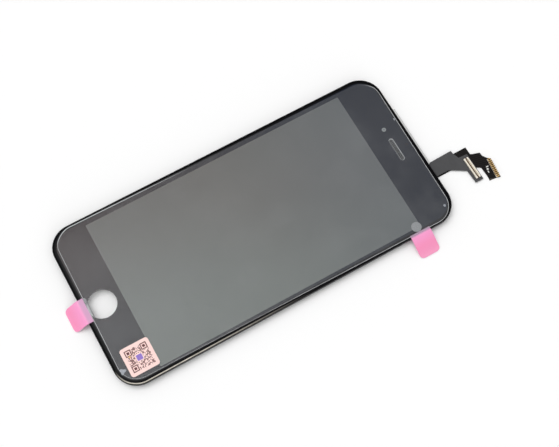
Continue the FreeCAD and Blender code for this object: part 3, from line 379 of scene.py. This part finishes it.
def stiffener():
    f = Finish("stiffener", {"Coat Weight": 0.1})
    weave = f.noise(0.18, 2, 0.5, (1, 6, 1)) + f.noise(0.18, 2, 0.5, (6, 1, 1))
    f.put("Base Color", f.tone(weave * 0.5, (46, 40, 34), (70, 62, 52)))
    f.put("Roughness", 0.4 + 0.12 * weave)
    f.bump(weave, 0.3)
    return f.material


# Board connectors, each turned by some degrees: a trough of this half width between the contact
# rows has a deeper colour, and ribs across it where ribs is 1. Gold is the colours between and
# on the contacts.
plugs = {
    "display": {"turn": 0.6, "pitch": 0.7, "trough": 0.3, "deep": (88, 66, 40), "ribs": 0,
                "gold": ((238, 230, 210), (255, 250, 240))},
    "touch": {"turn": -6, "pitch": 0.76, "trough": 0.6, "deep": (58, 40, 24), "ribs": 1,
              "gold": ((64, 44, 24), (244, 208, 142))},
}


# Moulded socket with cream walls
def connectorBody(side):
    plug = plugs[side]
    f = Finish(side + "_body", {"Specular IOR Level": 0.4})
    across, along = f.local(middleOf(side + "_connector"), math.radians(plug["turn"]))
    speck = f.noise(0.06, 2)
    cream = f.tone(f.noise(1.2), (240, 232, 216), (252, 246, 234))
    middle = f.fall(abs(along), plug["trough"] - 0.06, plug["trough"] + 0.06)
    rib = f.rise(f.lane(across / plug["pitch"]), 0.2, 0.3) * plug["ribs"]
    f.put("Base Color", f.mix(middle, cream, f.tone(rib, plug["deep"], (226, 186, 118))))
    f.put("Roughness", 0.38 + 0.2 * speck)
    f.bump(speck, 0.15)
    return f.material


# Plated contacts: a bright lane at each one, wiped duller in short streaks
def contactGold(side):
    plug = plugs[side]
    f = Finish(side + "_gold")
    across, along = f.local(middleOf(side + "_contacts"), math.radians(plug["turn"]))
    between, bright = plug["gold"]
    lane = f.rise(f.lane(across / plug["pitch"]), 0.2, 0.3)
    wiped = f.noise(0.15, 2, 0.5, (1, 4, 1))
    f.put("Base Color", f.mix(lane, screen(*between), f.tone(wiped * 0.4, bright, between)))
    f.put("Metallic", 0.5 + 0.2 * wiped)
    f.put("Roughness", 0.24 + 0.15 * wiped)
    f.bump(wiped, 0.1)
    return f.material


def silicon():
    f = Finish("silicon", {"Coat Weight": 0.3, "Coat Roughness": 0.15})
    f.put("Base Color", f.tone(f.noise(0.8), (26, 27, 31), (44, 46, 52)))
    f.put("Roughness", 0.24 + 0.2 * f.noise(0.2))
    f.bump(f.noise(0.08), 0.08)
    return f.material


capacitor = {"pitch": 3.0, "length": 1.0, "bareHalf": 0.28}


# Ceramic body with tinned ends: the capacitors stand in a row, so the pattern repeats along it.
# The lamps wear it too.
def component():
    f = Finish("component")
    pitch = capacitor["pitch"]
    firstLane = boxOf("flex_capacitors")[0][0] + (capacitor["length"] - pitch) / 2
    fromMiddle = f.lane((f.x - firstLane) / pitch) * pitch
    tinned = f.rise(fromMiddle, capacitor["bareHalf"], capacitor["bareHalf"] + 0.04)
    f.put("Base Color", f.tone(tinned, (150, 118, 88), (206, 204, 198)))
    f.put("Metallic", tinned * 0.9)
    f.put("Roughness", 0.5 - 0.2 * tinned + 0.1 * f.noise(0.1))
    f.bump(f.noise(0.06), 0.15)
    return f.material


def tapeBlack():
    f = Finish("tape_black")
    fibre = f.noise(0.2, 3, 0.6, (5, 1, 1))
    f.put("Base Color", f.tone(fibre, (20, 20, 21), (38, 37, 38)))
    f.put("Roughness", 0.45 + 0.2 * fibre)
    f.bump(fibre, 0.3)
    return f.material


def meshSteel():
    f = Finish("mesh_steel", {"Specular IOR Level": 0.5})
    grain = f.noise(0.1, 2)
    f.put("Base Color", f.tone(grain, (52, 54, 56), (96, 98, 100)))
    f.put("Metallic", 0.6 + 0.2 * grain)
    f.put("Roughness", 0.4 + 0.2 * grain)
    f.bump(grain, 0.3)
    return f.material


def ringPlastic():
    f = Finish("ring_plastic", {"Coat Weight": 0.2})
    grain = f.noise(0.1, 2)
    f.put("Base Color", f.tone(grain, (18, 18, 20), (30, 30, 32)))
    f.put("Roughness", 0.4 + 0.2 * grain)
    f.bump(grain, 0.2)
    return f.material


finishOfSlot = {
    "moulded_black": mouldedBlack(),
    "moulded_white": mouldedWhite(),
    "border_ink": borderInk(),
    "panel_glass": panelGlass(),
    "polariser": polariser(),
    "clear_adhesive": clearAdhesive(),
    "optical_film": opticalFilm(),
    "light_guide": lightGuide(),
    "tray_steel": sheetSteel("tray_steel"),
    "fitting_steel": sheetSteel("fitting_steel"),
    "flex_grey": flexFinish("flex_grey"),
    "flex_black": flexFinish("flex_black"),
    "stiffener": stiffener(),
    "silicon": silicon(),
    "component": component(),
    "tape_black": tapeBlack(),
    "mesh_steel": meshSteel(),
    "ring_plastic": ringPlastic(),
}
finishOfNode = {}
for side in plugs:
    finishOfNode[side + "_connector"] = connectorBody(side)
    finishOfNode[side + "_contacts"] = contactGold(side)
print("plain finishes made:", len(finishOfSlot) + len(finishOfNode))


# Shapes

# Closed loop round a rounded rectangle: corner arcs stepped by angle, straight sides by length.
# Gives each place and its outward direction, so a parallel loop is place + direction * offset.
def roundedLoop(width, length, corner, centre=(0, 0), turn=0.0, arcSteps=24, sideSteps=1):
    signs = np.array([(1, 1), (-1, 1), (-1, -1), (1, -1)])
    middles = signs * (np.array([width, length]) / 2 - corner)
    share = np.linspace(0, 1, sideSteps + 1)[1:-1, None]
    places, outward = [], []
    for quarter in range(4):
        angle = np.linspace(0, math.pi / 2, arcSteps + 1) + quarter * math.pi / 2
        direction = np.stack([np.cos(angle), np.sin(angle)], axis=1)
        arc = middles[quarter] + corner * direction
        nextStart = middles[(quarter + 1) % 4] + corner * direction[-1]
        places += [arc, arc[-1] + (nextStart - arc[-1]) * share]
        outward += [direction, np.repeat(direction[-1:], sideSteps - 1, axis=0)]
    places, outward = np.concatenate(places), np.concatenate(outward)
    spin = np.array([[math.cos(turn), math.sin(turn)], [-math.sin(turn), math.cos(turn)]])
    return places @ spin + np.array(centre), outward @ spin


def circleLoop(centre, radius):
    return roundedLoop(2 * radius, 2 * radius, radius, centre)


# Quads of a grid whose rows and columns are counted from a first vertex; a wrapped grid closes.
def gridFaces(rows, columns, first=0, wrapped=False):
    row = np.arange(rows - 1)[:, None]
    column = np.arange(columns if wrapped else columns - 1)[None, :]
    after = (column + 1) % columns
    a, b = row * columns + column, row * columns + after
    quads = np.stack([a, b, b + columns, a + columns], axis=-1)
    return (quads.reshape(-1, 4) + first).tolist()


# Plate with rims: each rim is a loop carried along a profile of (outward offset, height) from
# the top face to the underside, and the two flat faces between the rims are filled in.
def plateMesh(rims):
    points, faces, tops, bottoms = [], [], [], []
    count = 0
    for (places, outward), profile in rims:
        offsets, heights = np.array(profile).T
        rings = places[None] + outward[None] * offsets[:, None, None]
        level = np.broadcast_to(heights[:, None, None], rings.shape[:2] + (1,))
        points.append(np.concatenate([rings, level], axis=2).reshape(-1, 3))
        rows, columns = rings.shape[:2]
        faces += gridFaces(rows, columns, count, True)
        tops.append((count, columns))
        bottoms.append((count + (rows - 1) * columns, columns))
        count += rows * columns
    points = np.concatenate(points)
    for loops in (tops, bottoms):
        indices = np.concatenate([np.arange(start, start + columns) for start, columns in loops])
        outlines = [points[start:start + columns].tolist() for start, columns in loops]
        faces += [indices[list(corners)].tolist() for corners in tessellate_polygon(outlines)]
    return points, faces


# A closed piece from points in millimetres, with doubles merged and edges sharp past an angle
def makePiece(name, points, faces, material, replaces=(), sharp=35):
    mesh = bpy.data.meshes.new(name)
    mesh.from_pydata((np.asarray(points) * mm).tolist(), [], faces)
    work = bmesh.new()
    work.from_mesh(mesh)
    bmesh.ops.remove_doubles(work, verts=work.verts, dist=1e-7)
    bmesh.ops.recalc_face_normals(work, faces=work.faces)
    work.to_mesh(mesh)
    work.free()
    mesh.shade_smooth()
    mesh.set_sharp_from_angle(angle=math.radians(sharp))
    mesh.materials.append(material)
    piece = bpy.data.objects.new(name, mesh)
    bpy.context.scene.collection.objects.link(piece)
    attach(piece, "root")
    if replaces:
        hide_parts(*replaces)


# Cover glass

glass = {
    "corner": 8.5,
    "edgeRun": 1.2,  # how far in from the edge the face starts to tip over
    "edgeSteps": 10,
    "slopeAngle": 20,
    "facetWidth": 0.3,
    "facetAngle": 44,
    "facetBlend": 0.08,
    "blendSteps": 5,
    "underChamfer": 0.06,
    "flatBand": 0.1,
    "homeChamfer": 0.15,
    "slotLength": 9.4,
    "slotWidth": 1.5,
    "slotChamfer": 0.2,
    "holeBand": 0.3,
    "windowHalf": (29.43, 52.42),
    "windowCorner": 0.3,
    "windowShift": (0.37, -0.38),
    "cameraRadius": 0.8,
    "sensorRadius": 0.55,
    "sensorFromEnd": 3.1,
    # painted reflection: the border's black ink shifts warm to blue across the glass, and darker
    # blue towards the earpiece end
    "borderInkAndReflection": ((38, 22, 23), (20, 21, 30)),  # at the -X side and at the +X side
    "borderUpReflection": (10, 19, 36),
    "borderDust": (28, 28, 33),
    # painted reflection: the window's grey shifts paler to +X and darker, bluer towards the
    # earpiece end
    "windowToneAndReflection": ((92, 89, 86), (106, 112, 109)),
    "windowUpReflection": (85, 91, 97),
    "windowDust": (97, 103, 101),
    "windowSpecks": (106, 106, 105),
    # painted highlight on the chamfer round the earpiece slot
    "slotRingHighlight": (186, 189, 191),
    "lensRing": (132, 137, 138),
    "lensPaint": (108, 112, 115),
    "sensorPaint": (28, 24, 34),
    "homeRing": (104, 104, 106),
    "curveShade": (12, 12, 14),
    # painted shade on the curved edge
    "facetHighlight": (238, 232, 218),
    # painted highlight on the ground facet
    "coat": 0.68,
    "coatLessUp": 0.1,
    "sideDull": (0.24, 0.12),  # shares of the coat lost at the -X side, far in and close by,
    "endDull": (0.12, 0.18),  # at the earpiece end, all across and more towards +X,
    "curveDull": 0.82,  # and on the curve
}
glassLow, glassHigh = boxOf("cover_glass")
glassSize = (glassHigh - glassLow)[:2]
glassBottom, glassTop = glassLow[2], glassHigh[2]
slotCentre = middleOf("earpiece_mesh")
cameraCentre = middleOf("camera_ring")
sensorCentre = (0.0, frameHigh[1] - glass["sensorFromEnd"])


# Edge of the glass: the face tips over slowly, its angle growing with the distance, then turns
# into a narrow ground facet. The height is the running sum of the angle's tangent.
def glassEdge():
    run, facet, blend = glass["edgeRun"], glass["facetWidth"], glass["facetBlend"]
    slope, steep = math.radians(glass["slopeAngle"]), math.radians(glass["facetAngle"])
    offsets = np.concatenate([np.linspace(-run, -facet - blend, glass["edgeSteps"]),
                              np.linspace(-facet - blend, -facet, glass["blendSteps"])[1:],
                              [-facet / 2, 0]])
    share = np.clip((offsets + facet + blend) / blend, 0, 1)
    angle = slope * (offsets + run) / (run - facet) * (1 - share) + steep * share
    drop = np.tan((angle[1:] + angle[:-1]) / 2) * np.diff(offsets)
    heights = glassTop - np.concatenate([[0], np.cumsum(drop)])
    small = glass["underChamfer"]
    inner = -run - glass["flatBand"]
    under = [(0, glassBottom + small), (-small, glassBottom), (inner, glassBottom)]
    return [(inner, glassTop)] + list(zip(offsets, heights)) + under


# Edge of a hole in the glass: a flat band, a chamfer, the wall and a flat band below
def holeEdge(chamfer):
    band = glass["holeBand"]
    return [(chamfer + band, glassTop), (chamfer, glassTop), (0, glassTop - chamfer),
            (0, glassBottom), (band, glassBottom)]


# Black border with a painted reflection: warm at the -X side, and bluer to the +X side and the
# earpiece end
def borderColour(f, cloud, upper):
    colour = f.tone(f.rise(f.x, -30, 20), *glass["borderInkAndReflection"])
    # painted reflection, darker and bluer towards the earpiece end
    colour = f.paint(colour, upper, glass["borderUpReflection"])
    return f.paint(colour, cloud * 0.25, glass["borderDust"])


# Grey window with a painted reflection: paler to the +X side, bluer at the earpiece end, with
# clouds and fine specks
def windowColour(f, cloud):
    # painted reflection: a slope paler to the +X side
    slope = f.rise(f.x * 0.7 - f.y * 0.2, -14, 22)
    colour = f.tone(slope, *glass["windowToneAndReflection"])
    colour = f.paint(colour, f.rise(f.y, -10, 60) * 0.75, glass["windowUpReflection"])
    colour = f.paint(colour, cloud * 0.3, glass["windowDust"])
    fine = f.noise(7, 4, shift=(4, 9, 2))
    return f.paint(colour, fine * 0.15, glass["windowSpecks"])


# Painted highlight: a pale ring on the chamfer round the earpiece slot. Camera window with a
# paler rim, dark spot of the sensor, and grey ring round the home-button hole
def paintOpenings(f, colour):
    half = (glass["slotLength"] / 2, glass["slotWidth"] / 2)
    slot = abs(f.away(f.local(slotCentre), half, half[1]) - 0.03)
    # painted highlight where the slot's chamfer catches the light
    colour = f.paint(colour, f.fall(slot, 0.08, 0.15), glass["slotRingHighlight"])
    radius = glass["cameraRadius"]
    lens = f.awayFromCircle(cameraCentre, radius)
    colour = f.paint(colour, f.fall(lens, -0.06, 0.06), glass["lensRing"])
    inLens = f.fall(lens, -radius * 0.62, -radius * 0.42)
    colour = f.paint(colour, inLens, glass["lensPaint"])
    sensor = f.awayFromCircle(sensorCentre, glass["sensorRadius"])
    colour = f.paint(colour, f.fall(sensor, -0.05, 0.05), glass["sensorPaint"])
    hole = f.awayFromCircle(homeCentre, home["radius"])
    return f.paint(colour, f.fall(hole, 0.02, 0.1), glass["homeRing"])


# Paint of the glass as it is seen through its top face. The curve is painted near black as a
# painted shade, the facet carries a painted cream highlight on the +X side, and the coat is
# duller at the -X side, at the earpiece end and on the curve.
def coverGlass():
    f = Finish("cover_glass", {"Coat Roughness": 0.03, "Roughness": 0.5,
                               "Specular IOR Level": 0.0})
    cloud = f.noise(38, 2)
    upper = f.rise(f.y, -60, 50)
    window = f.plate(glass["windowShift"], glass["windowHalf"], glass["windowCorner"])
    colour = f.mix(window, borderColour(f, cloud, upper), windowColour(f, cloud))
    colour = paintOpenings(f, colour)
    rim = f.away(f.local((0, 0)), glassSize / 2, glass["corner"])
    curve = f.rise(rim, -glass["edgeRun"] - 0.25, -glass["edgeRun"])
    # painted shade: the curved edge is painted near black
    colour = f.paint(colour, curve, glass["curveShade"])
    # painted highlight: a patchy cream line on the facet, only on the +X side and brighter
    # towards the lower end
    facet = f.rise(rim, -glass["facetWidth"] - 0.05, -glass["facetWidth"])
    shine = f.rise(f.x - f.y * 0.12, 31, 38) * (0.45 + 0.8 * f.noise(2.5, 2))
    f.put("Base Color", f.paint(colour, facet * shine, glass["facetHighlight"]))
    farIn, closeBy = glass["sideDull"]
    dull = farIn * f.fall(f.x, -31, -12) + closeBy * f.fall(f.x, -31, -27)
    allAcross, moreRight = glass["endDull"]
    dull = dull + f.rise(f.y, 48, 58) * (allAcross + moreRight * f.rise(f.x, -5, 25))
    coat = glass["coat"] - glass["coatLessUp"] * upper
    f.put("Coat Weight", coat * (1 - dull) * (1 - glass["curveDull"] * curve))
    f.bump(f.noise(24, 2), 0.04, 0.05)
    return f.material


glassLoop = roundedLoop(*glassSize, glass["corner"], arcSteps=28)
homeLoop = circleLoop(homeCentre, home["radius"])
slotLoop = roundedLoop(glass["slotLength"], glass["slotWidth"], glass["slotWidth"] / 2,
                       slotCentre, arcSteps=12)
points, faces = plateMesh([(glassLoop, glassEdge()),
                           (homeLoop, holeEdge(glass["homeChamfer"])),
                           (slotLoop, holeEdge(glass["slotChamfer"]))])
makePiece("front_glass", points, faces, coverGlass(), ["cover_glass"])
print("cover glass made")


# Protective film

film = {
    "inset": (1.25, 1.7),  # from the frame's edges, before it is shifted and turned
    "corner": 7.4,
    "shift": (0.1, 0.35),
    "turn": 0.7,
    "holeGap": 0.1,
    "edgeLift": 0.03,
    "liftRun": 0.5,
    "liftSteps": 7,
    "flatBand": 0.5,
    "clear": 0.01,  # kept free above and below it in the space of its solid
    "tint": (206, 208, 210),
    "haze": 0.03,
    "lineWidth": 0.27,
    "leftLineIn": 0.42,  # the line along the -X side is drawn this far in
    "holeLinePast": 0.17,  # the one at the hole lies this far past the cut, so it is faint
}
filmLow, filmHigh = boxOf("protective_film")
filmBottom, filmTop = filmLow[2] + film["clear"], filmHigh[2] - film["clear"]
filmSize = (frameHigh - frameLow)[:2] - 2 * np.array(film["inset"])
filmTurn = math.radians(film["turn"])
filmHoleRadius = home["radius"] + film["holeGap"]


# Edge of the film: it lifts a little over its last run, by a raised cosine.
def filmEdge():
    share = np.linspace(0, 1, film["liftSteps"])
    lift = film["edgeLift"] * (1 - np.cos(share * math.pi)) / 2
    offsets = -film["liftRun"] * (1 - share)
    inner = -film["liftRun"] - film["flatBand"]
    over = list(zip(offsets, filmTop + lift))
    under = list(zip(offsets[::-1], filmBottom + lift[::-1]))
    return [(inner, filmTop)] + over + under + [(inner, filmBottom)]


# Edge of the film's hole: a plain cut between two flat bands
def filmHoleEdge():
    band = film["flatBand"]
    return [(band, filmTop), (0, filmTop), (0, filmBottom), (band, filmBottom)]


# Clear film: smudges, a few long scratches, and a bright line where the cut edge catches the
# light. On the -X side the line shows only towards the lower end, and on the +X side it is
# fainter in the lower half.
def clearFilm():
    f = Finish("clear_film", {"IOR": 1.45})
    f.put("Base Color", screen(*film["tint"]))
    across, along = f.local(film["shift"], -filmTurn)
    onSide = f.rise(abs(across), 26, 30)
    edge = f.away((across, along), filmSize / 2, film["corner"])
    edge = edge + film["leftLineIn"] * onSide * (across < 0)
    hole = f.awayFromCircle(homeCentre, filmHoleRadius)
    nearest = f.math("MAXIMUM", edge, 0 - hole - film["holeLinePast"])
    line = f.rise(nearest, -film["lineWidth"], -0.03) * f.fall(edge, 0.02, 0.14)
    left = 1.15 * f.rise(0 - along, 5, 42)
    right = 0.5 + 0.5 * f.rise(along, -15, 10)
    shown = 1 - onSide * (1 - left - (right - left) * (across > 0))
    patchy = f.rise(f.noise(7, 3), 0.25, 0.6)
    smudge = f.rise(f.noise(16, 4, shift=(3, 1, 5)), 0.45, 0.75)
    scratch = f.rise(f.noise(0.25, 2, 0.5, (1, 90, 1), (2, 8, 0)), 0.76, 0.8)
    haze = film["haze"] + 0.02 * smudge + 0.05 * scratch
    f.put("Alpha", haze + line * shown * (0.42 + 0.28 * patchy))
    f.put("Roughness", 0.25 + 0.2 * smudge)
    f.bump(f.noise(5, 2) + scratch * 0.05, 0.1, 0.05)
    return f.material


filmLoop = roundedLoop(*filmSize, film["corner"], film["shift"], -filmTurn, sideSteps=12)
points, faces = plateMesh([(filmLoop, filmEdge()),
                           (circleLoop(homeCentre, filmHoleRadius), filmHoleEdge())])
makePiece("screen_film", points, faces, clearFilm(), ["protective_film"])
print("film made")


# Pull tabs

tabSheet = {
    "thick": 0.08,
    "corner": 1.6,
    "crown": 0.05,
    "flatPast": 0.2,  # how far past the rim it starts to fall
    "ease": 0.6,  # share of the slope that is eased, the rest being straight
    "rows": 72,
    "columns": 25,
    "tint": ((255, 144, 190), (255, 160, 202)),
    "rimTint": (255, 162, 212),
    "endTint": (255, 178, 210),
    "cover": 0.96,
}
# Lap is how far each one reaches in over the glass, where it has its own tint and cover.
tabs = {
    "side_tab": {"node": "side_pull_tab", "finish": "tab_pink", "axis": 0, "sign": 1,
                 "lap": 0.98, "along": 50.5, "width": 8.05, "lapTint": (222, 186, 216),
                 "lapCover": 0.35},
    "end_tab": {"node": "end_pull_tab", "finish": "tab_pink_end", "axis": 1, "sign": -1,
                "lap": 1.95, "along": -0.4, "width": 9.4, "lapTint": (226, 168, 208),
                "lapCover": 0.82},
}


# How far a box reaches from the middle the way that a tab points
def reachOf(box, tab):
    low, high = box
    return high[tab["axis"]] if tab["sign"] > 0 else -low[tab["axis"]]


# Tab: a strip whose height follows its distance from the rim. It lies flat on the film, then
# falls to the floor by a slope eased at both ends. Circles round its outer corners, and its
# middle is crowned by a cosine across times a sine along the slope.
def tabSurface(tab, rim, outer, low, high):
    start = rim + tabSheet["flatPast"]
    reach = np.linspace(rim - tab["lap"], outer, tabSheet["rows"])
    share = np.clip((reach - start) / (outer - start), 0, 1)
    eased = share * share * (3 - 2 * share)
    ease = tabSheet["ease"]
    height = high - (high - low) * (ease * eased + (1 - ease) * share)
    corner = tabSheet["corner"]
    into = np.clip(reach - (outer - corner), 0, corner)
    half = tab["width"] / 2 - corner + np.sqrt(corner ** 2 - into ** 2)
    across = np.linspace(-1, 1, tabSheet["columns"])
    crown = tabSheet["crown"] * np.cos(across * math.pi / 2) * np.sin(share * math.pi)[:, None]
    return np.broadcast_arrays(reach[:, None], half[:, None] * across, height[:, None] + crown)


# Tinted film: paler where it lies on the glass, deeper past the rim, with soft streaks
def tabPink(tab, rim):
    f = Finish(tab["finish"], {"Coat Weight": 0.25, "Coat Roughness": 0.2,
                               "Specular IOR Level": 0.4})
    pastRim = (f.x, f.y)[tab["axis"]] * tab["sign"] - rim
    past = f.rise(pastRim, -0.6, 0.5)
    streak = f.noise(3.5, 3, 0.5, (1, 3, 1))
    tint = f.tone(streak, *tabSheet["tint"])
    tint = f.paint(tint, f.fall(pastRim, 0.5, 4.5), tabSheet["rimTint"])
    tint = f.paint(tint, f.rise(pastRim, 4.5, 8) * 0.4, tabSheet["endTint"])
    cover = tab["lapCover"]
    f.put("Base Color", f.mix(past, screen(*tab["lapTint"]), tint))
    f.put("Alpha", cover + (tabSheet["cover"] - cover) * past - 0.06 * streak)
    f.put("Roughness", 0.3 + 0.15 * streak)
    f.bump(f.noise(1.5, 3), 0.15, 0.05)
    return f.material


def makeTab(name, tab):
    low, high = boxOf(tab["node"])
    rim = reachOf((frameLow, frameHigh), tab)
    outer = reachOf((low, high), tab)
    depth, sideways, height = tabSurface(tab, rim, outer, low[2] + tabSheet["thick"], high[2])
    place = [sideways + tab["along"], sideways + tab["along"], height]
    place[tab["axis"]] = depth * tab["sign"]
    upper = np.stack(place, axis=2).reshape(-1, 3)
    lower = upper - (0, 0, tabSheet["thick"])
    rows, columns = height.shape
    count = rows * columns
    faces = gridFaces(rows, columns) + gridFaces(rows, columns, count)
    index = np.arange(count).reshape(rows, columns)
    border = np.concatenate([index[0], index[1:, -1], index[-1, -2::-1], index[-2:0:-1, 0]])
    after = np.roll(border, -1)
    faces += np.stack([border, after, after + count, border + count], axis=1).tolist()
    makePiece(name, np.concatenate([upper, lower]), faces, tabPink(tab, rim),
              [tab["node"]], 50)


for name, tab in tabs.items():
    makeTab(name, tab)
print("pull tabs made")


# Code label and clear discs

label = {
    "cells": 25,
    "margin": 1.25,
    "seed": 11,
    "inked": 0.52,  # a block is drawn where its lot is above this
    "ring": 7,
    "centreHalf": 1.05,
    "centreGap": 0.3,
    "spot": (7.5, 3.5),  # in cells
    "paper": ((251, 214, 209), (255, 223, 217)),
    "ink": ((64, 10, 18), (112, 32, 34)),
    "centreTint": ((126, 96, 190), (160, 130, 214)),
    "spotTint": (236, 190, 96),
}


# Blocks of the code: each cell is drawn or left bare by lot, with a soft edge
def codeBlocks(f, u, v):
    lot = f.lottery(f.math("FLOOR", u) + label["seed"], f.math("FLOOR", v))
    return (lot > label["inked"]) * f.fall(f.math("MAXIMUM", f.lane(u), f.lane(v)), 0.4, 0.52)


# Ring marks: at three corners, a square ring round a square on cleared ground
def ringMarks(f, ink, u, v):
    half = label["ring"] / 2
    far = label["cells"] - half
    for across, along in ((half, half), (far, half), (half, far)):
        ring = f.math("MAXIMUM", abs(u - across), abs(v - along))
        cleared = f.fall(ring, half + 0.45, half + 0.6)
        mark = f.fall(abs(ring - (half - 0.5)), 0.45, 0.6) + f.fall(ring, 1.3, 1.55)
        ink = ink * (1 - cleared) + mark
    return ink


# Paper of the label: blocks, ring marks, a plain square in the middle and a small spot
def labelPaper():
    f = Finish("label_paper")
    centre = middleOf("code_label")
    low, high = boxOf("code_label")
    half = (high - low)[0] / 2 - label["margin"]
    pitch = 2 * half / label["cells"]
    u, v = (place / pitch for place in f.local((centre[0] - half, centre[1] - half)))
    ink = codeBlocks(f, u, v) * f.plate(centre, (half, half), 0.02, 0.02)
    ink = ringMarks(f, ink, u, v)
    square = label["centreHalf"]
    hub = square + label["centreGap"]
    ink = f.math("MINIMUM", ink * (1 - f.plate(centre, (hub, hub), 0.1)), 1)
    fromSpot = ((u - label["spot"][0]) ** 2 + (v - label["spot"][1]) ** 2) ** 0.5
    fibre = f.noise(0.5, 3)
    colour = f.tone(fibre, *label["paper"])
    colour = f.mix(ink, colour, f.tone(f.noise(0.7), *label["ink"]))
    colour = f.paint(colour, f.fall(fromSpot, 0.9, 1.3) * 0.8, label["spotTint"])
    violet = f.tone(f.noise(0.8), *label["centreTint"])
    f.put("Base Color", f.mix(f.plate(centre, (square, square), 0.12), colour, violet))
    f.put("Roughness", 0.42 + 0.15 * fibre)
    f.bump(fibre, 0.15)
    return f.material


# Clear discs under the ends of the tabs. The one at the lower end fades towards +X.
def clearDots():
    f = Finish("clear_dots", {"Coat Weight": 0.4, "Coat Roughness": 0.25})
    speck = f.noise(0.35, 3)
    shown = 1 - 0.75 * f.rise(f.x, -3.6, -2.0) * (f.y < 0)
    f.put("Base Color", f.tone(speck, (136, 139, 142), (172, 175, 178)))
    f.put("Alpha", (0.55 + 0.25 * speck) * shown)
    f.put("Roughness", 0.35 + 0.25 * speck)
    f.bump(speck, 0.4, 0.03)
    return f.material


finishOfNode["code_label"] = labelPaper()
finishOfNode["adhesive_dots"] = clearDots()

# Marks on the film: a lifted corner bubble, a small nick at the upper edge and one speck. Each
# is a low dome over a rounded star shape: the radius swings with the angle by a cosine.
marks = {
    "film_bubble": {"centre": (25.1, -64.9), "radius": 0.95, "swing": 0.28, "lobes": 3,
                    "turn": 1.55, "height": 0.04},
    "film_nick": {"centre": (-10.9, 65.9), "radius": 0.36, "swing": 0.35, "lobes": 3,
                  "turn": 1.6, "height": 0.04},
    "film_speck": {"centre": (27.45, 63.75), "radius": 0.48, "swing": 0.05, "lobes": 2,
                   "turn": 0.0, "height": 0.05},
}
markLevel = filmHigh[2] + 0.002


def markFinish():
    f = Finish("film_mark", {"Coat Weight": 0.6, "Coat Roughness": 0.1})
    speck = f.noise(0.5, 3)
    f.put("Base Color", f.tone(speck, (146, 152, 164), (186, 190, 198)))
    f.put("Alpha", 0.45 + 0.3 * speck)
    f.put("Roughness", 0.2 + 0.2 * speck)
    f.bump(speck, 0.3, 0.03)
    return f.material


def makeMark(name, mark, finish):
    rings, around = 9, 48
    share = np.linspace(0, 1, rings)[:, None]
    angle = np.linspace(0, 2 * math.pi, around, endpoint=False)
    swing = 1 + mark["swing"] * np.cos(mark["lobes"] * (angle - mark["turn"]))
    reach = share * mark["radius"] * swing
    x = mark["centre"][0] + reach * np.cos(angle)
    y = mark["centre"][1] + reach * np.sin(angle)
    z = markLevel + mark["height"] * (1 - share ** 2)
    points = np.stack(np.broadcast_arrays(x, y, z), axis=2).reshape(-1, 3)
    underside = list(range((rings - 1) * around, rings * around))
    faces = gridFaces(rings, around, 0, True) + [underside]
    makePiece(name, points, faces, finish, (), 60)


markMaterial = markFinish()
for name, mark in marks.items():
    makeMark(name, mark, markMaterial)
print("label, dots and marks made")


# Finishes of the nodes that keep their own shape. A node that has neither is hidden by its piece.

for part in frame["record"]["subparts"]:
    material = finishOfNode.get(part["node"]) or finishOfSlot.get(part["material_slot"])
    if material:
        mesh = nodes[part["node"]].data
        mesh.materials.clear()
        mesh.materials.append(material)
print("finishes put on the nodes")


# Floor, light and camera

ground = {
    "half": 30.0,  # half its side, in metres
    "below": 0.02,  # how far it lies under the part, in millimetres
    "colour": (254, 254, 254),
}


def makeFloor():
    f = Finish("floor", {"Roughness": 0.9})
    f.put("Base Color", screen(*ground["colour"]))
    half, level = ground["half"], -ground["below"] * mm
    mesh = bpy.data.meshes.new("floor")
    corners = [(-half, -half, level), (half, -half, level),
               (half, half, level), (-half, half, level)]
    mesh.from_pydata(corners, [], [(0, 1, 2, 3)])
    mesh.materials.append(f.material)
    floor = bpy.data.objects.new("floor", mesh)
    bpy.context.scene.collection.objects.link(floor)


light = {
    "plain": 0.56,
    "lobes": [
        {"direction": (-0.33, -0.2, 0.92), "power": 14, "strength": 3.5},
        {"direction": (0.955, -0.12, 0.27), "power": 16, "strength": 1.6},
    ],
}


# Studio light: an even glow, a wide soft lobe overhead and another low on the +X side. Each
# lobe is a power of the cosine between the direction looked in and its own direction.
def makeLight():
    world = bpy.data.worlds.new("studio")
    bpy.context.scene.world = world
    world.use_nodes = True
    tree = NodeTree(world.node_tree)
    looked = tree.node("ShaderNodeTexCoord", output="Generated")
    glow = light["plain"]
    for lobe in light["lobes"]:
        own = np.array(lobe["direction"]) / np.linalg.norm(lobe["direction"])
        cosine = tree.node("ShaderNodeVectorMath", {"operation": "DOT_PRODUCT"},
                           {0: looked, 1: tuple(own)}, "Value")
        glow = glow + tree.math("MAXIMUM", cosine, 0) ** lobe["power"] * lobe["strength"]
    background = world.node_tree.nodes["Background"]
    tree.fill(background.inputs["Color"], (1, 1, 1))
    tree.fill(background.inputs["Strength"], glow)


# Camera: its place and its three axes, so that the part lies as it does in the photograph
view = {
    "place": (121.27, -60.36, 368.98),
    "right": (0.49137, 0.87093, 0.00624),
    "down": (0.81775, -0.45888, -0.34743),
    "forward": (-0.29973, 0.17582, -0.93768),
    "lens": 70.01,
    "sensor": 36,
}


def makeCamera():
    data = bpy.data.cameras.new("camera")
    data.lens = view["lens"]
    data.sensor_width = view["sensor"]
    camera = bpy.data.objects.new("camera", data)
    right, down, forward = (np.array(view[axis]) for axis in ("right", "down", "forward"))
    matrix = np.eye(4)
    matrix[:3] = np.stack([right, -down, -forward, np.array(view["place"]) * mm], axis=1)
    camera.matrix_world = Matrix(matrix.tolist())
    bpy.context.scene.collection.objects.link(camera)
    bpy.context.scene.camera = camera


makeFloor()
makeLight()
makeCamera()
bpy.context.scene.view_settings.view_transform = "Standard"
print("floor, light and camera placed")
